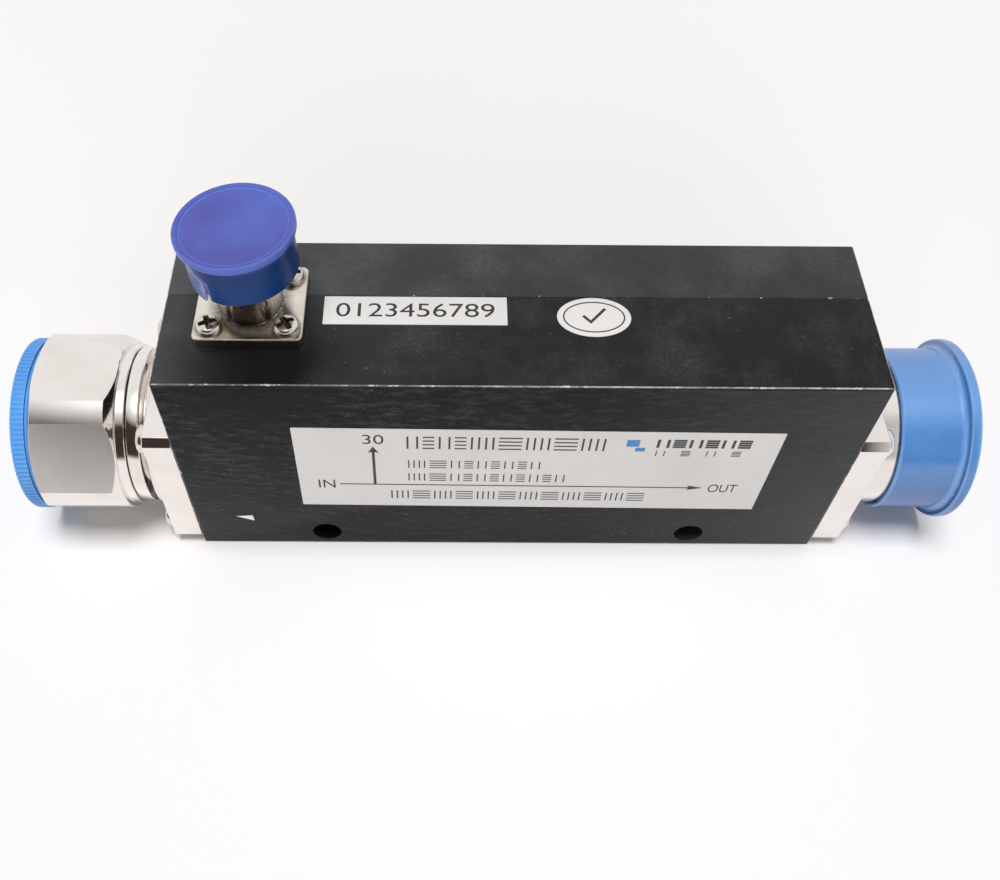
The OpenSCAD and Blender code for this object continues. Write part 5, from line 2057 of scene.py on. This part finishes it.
@dataclass
class Studio:
    """Pale floor, soft light and the camera of the photograph.

    The camera's place is in millimetres and its angles are in degrees. Floor and lamps are in metres and
    watts.
    """

    camera_mm: Corner = (-12.5057, -120.1005, 183.1329)
    pitch: float = 54.8674
    yaw: float = 0.5481
    roll: float = 0.7749
    focal_px: float = 1063.33
    centre_px: float = 449.85
    width_px: float = 1000.0
    sensor: float = 36.0
    clip: Pair = (0.005, 20.0)
    floor_size: float = 4.0
    floor_drop: float = 2e-5
    sky_top: float = 0.2
    key_way: Corner = (-0.04, -0.11, 0.993)
    key_distance: float = 4.0
    key_power: float = 127.0
    key_size: float = 1.5
    fill_place: Corner = (0.0, -3.77, 1.34)
    fill_power: float = 42.0
    fill_size: float = 2.3

    def camera(self) -> None:
        """Makes the camera from the fitted pitch, yaw, roll, focal length and place."""
        pitch, yaw, roll = (math.radians(value) for value in (self.pitch, self.yaw, self.roll))
        level = np.array([math.sin(yaw), math.cos(yaw), 0])
        forward = level * math.cos(pitch) - np.array([0, 0, math.sin(pitch)])
        right = np.array([math.cos(yaw), -math.sin(yaw), 0])
        up = np.cross(right, forward)
        across = math.cos(roll) * right + math.sin(roll) * up
        above = -math.sin(roll) * right + math.cos(roll) * up
        lens = bpy.data.cameras.new("photo_camera")
        lens.sensor_width = self.sensor
        lens.lens = self.sensor * self.focal_px / self.width_px
        lens.shift_x = (self.width_px / 2 - self.centre_px) / self.width_px
        lens.clip_start, lens.clip_end = self.clip
        holder = bpy.data.objects.new("photo_camera", lens)
        holder.matrix_world = placing(across, above, -forward, np.array(self.camera_mm) * MM)
        bpy.context.scene.collection.objects.link(holder)
        bpy.context.scene.camera = holder

    def floor(self) -> None:
        """Makes the pale floor just under the block; it is paler to the camera and in reflections."""
        half, level = self.floor_size / 2, -self.floor_drop
        corners = [(-half, -half, level), (half, -half, level), (half, half, level), (-half, half, level)]
        mesh = bpy.data.meshes.new("floor")
        mesh.from_pydata(corners, [], [(0, 1, 2, 3)])
        bench = Bench("pale_floor")
        tone = bench.ramp(bench.noise(3.0, 2.0), 0.3, 0.7)
        plain = bench.mix(tone, (0.87, 0.855, 0.85), (0.89, 0.88, 0.875))
        shown = bench.mix(tone, (0.985, 0.968, 0.962), (1.0, 0.985, 0.98))
        path = bench.add("LightPath", {}).outputs
        seen = bench.most(path["Is Camera Ray"], path["Is Glossy Ray"], path["Is Transmission Ray"])
        bench.surface(Base_Color=bench.mix(seen, plain, shown), Roughness=0.7, Specular_IOR_Level=0.1)
        mesh.materials.append(bench.material)
        plane = bpy.data.objects.new("floor", mesh)
        bpy.context.scene.collection.objects.link(plane)

    def lamp(self, name: str, place: Corner, power: float, size: float) -> None:
        """Makes a square lamp that faces the object.

        Args:
            name: The lamp's name.
            place: Where it hangs, in metres.
            power: Its power in watts.
            size: Its side in metres.
        """
        light = bpy.data.lights.new(name, "AREA")
        light.energy = power
        light.size = size
        holder = bpy.data.objects.new(name, light)
        away = np.array(place, float) / np.linalg.norm(place)
        across = np.cross((0.0, 1.0, 0.0), away)
        across /= np.linalg.norm(across)
        holder.matrix_world = placing(across, np.cross(away, across), away, np.array(place))
        holder.visible_glossy = False
        bpy.context.scene.collection.objects.link(holder)

    def sky(self) -> None:
        """Makes the surroundings: brightest overhead, white to the camera, and dark in front in reflections.

        Diffuse light follows the sine of the height, and none comes from below. The dark field in reflections
        is the room behind the camera: level to 55 degrees up, and fading out to the right. The softbox shows
        as a bright patch in them.
        """
        world = bpy.data.worlds.new("white_room")
        world.use_nodes = True
        bench = NodeBench(world.node_tree)
        way = bench.add("TexCoord", {}).outputs["Generated"]
        parts = bench.add("SeparateXYZ", {0: way}).outputs
        light = bench.ramp(parts["Z"], 0.0, 1.0, 0.0, self.sky_top)
        toward = bench.vector("DOT_PRODUCT", way, self.key_way, "Value")
        field = bench.times(
            bench.ramp(parts["Z"], 0.91, 0.74),
            bench.ramp(parts["Z"], -0.02, 0.1),
            bench.ramp(parts["Y"], -0.1, -0.3),
            bench.ramp(parts["X"], 0.75, 0.2),
            bench.ramp(parts["X"], -0.85, -0.6),
        )
        path = bench.add("LightPath", {}).outputs
        glossy = path["Is Glossy Ray"]
        seen = bench.most(path["Is Camera Ray"], glossy, path["Is Transmission Ray"])
        tone = bench.mix(bench.times(field, glossy), (0.95, 0.94, 0.935), (0.05, 0.036, 0.031))
        tone = bench.mix(bench.times(bench.ramp(toward, 0.95, 0.985), glossy), tone, (1.9, 1.88, 1.86))
        base = bench.nodes["Background"]
        bench.feed(base.inputs["Color"], (1.0, 0.985, 0.975, 1))
        bench.feed(base.inputs["Strength"], light)
        shown = bench.add("Background", {"Color": tone, "Strength": 1.0})
        blend = bench.add("MixShader", {0: seen, 1: base.outputs[0], 2: shown.outputs[0]})
        bench.feed(bench.nodes["World Output"].inputs["Surface"], blend.outputs[0])
        world.cycles.sampling_method = "NONE"
        bpy.context.scene.world = world

    def build(self) -> None:
        """Sets up the whole studio."""
        self.camera()
        self.floor()
        self.sky()
        key_place = tuple(self.key_distance * part for part in self.key_way)
        self.lamp("overhead_softbox", key_place, self.key_power, self.key_size)
        self.lamp("front_fill", self.fill_place, self.fill_power, self.fill_size)
        bpy.context.scene.view_settings.view_transform = "Standard"


def main() -> None:
    """Loads the frame, builds the studio and every sub-assembly."""
    logging.basicConfig(level=logging.INFO, format="%(name)s: %(message)s")
    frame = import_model()
    Studio().build()
    maker = Maker(Finishes(), frame["nodes"])
    block, flange = Block(), EndFlange()
    end = block.length / 2
    block.build(maker)
    InputPlug(Axes.at((-end, 0, LINE_HEIGHT), (-1, 0, 0), (0, 1, 0)), flange).build(maker)
    OutputSocket(Axes.at((end, 0, LINE_HEIGHT), (1, 0, 0), (0, 1, 0)), flange).build(maker)
    CoupledPort().build(maker)
    Stickers().build(maker)
    InnerParts().build(maker)


if __name__ == "__main__":
    main()
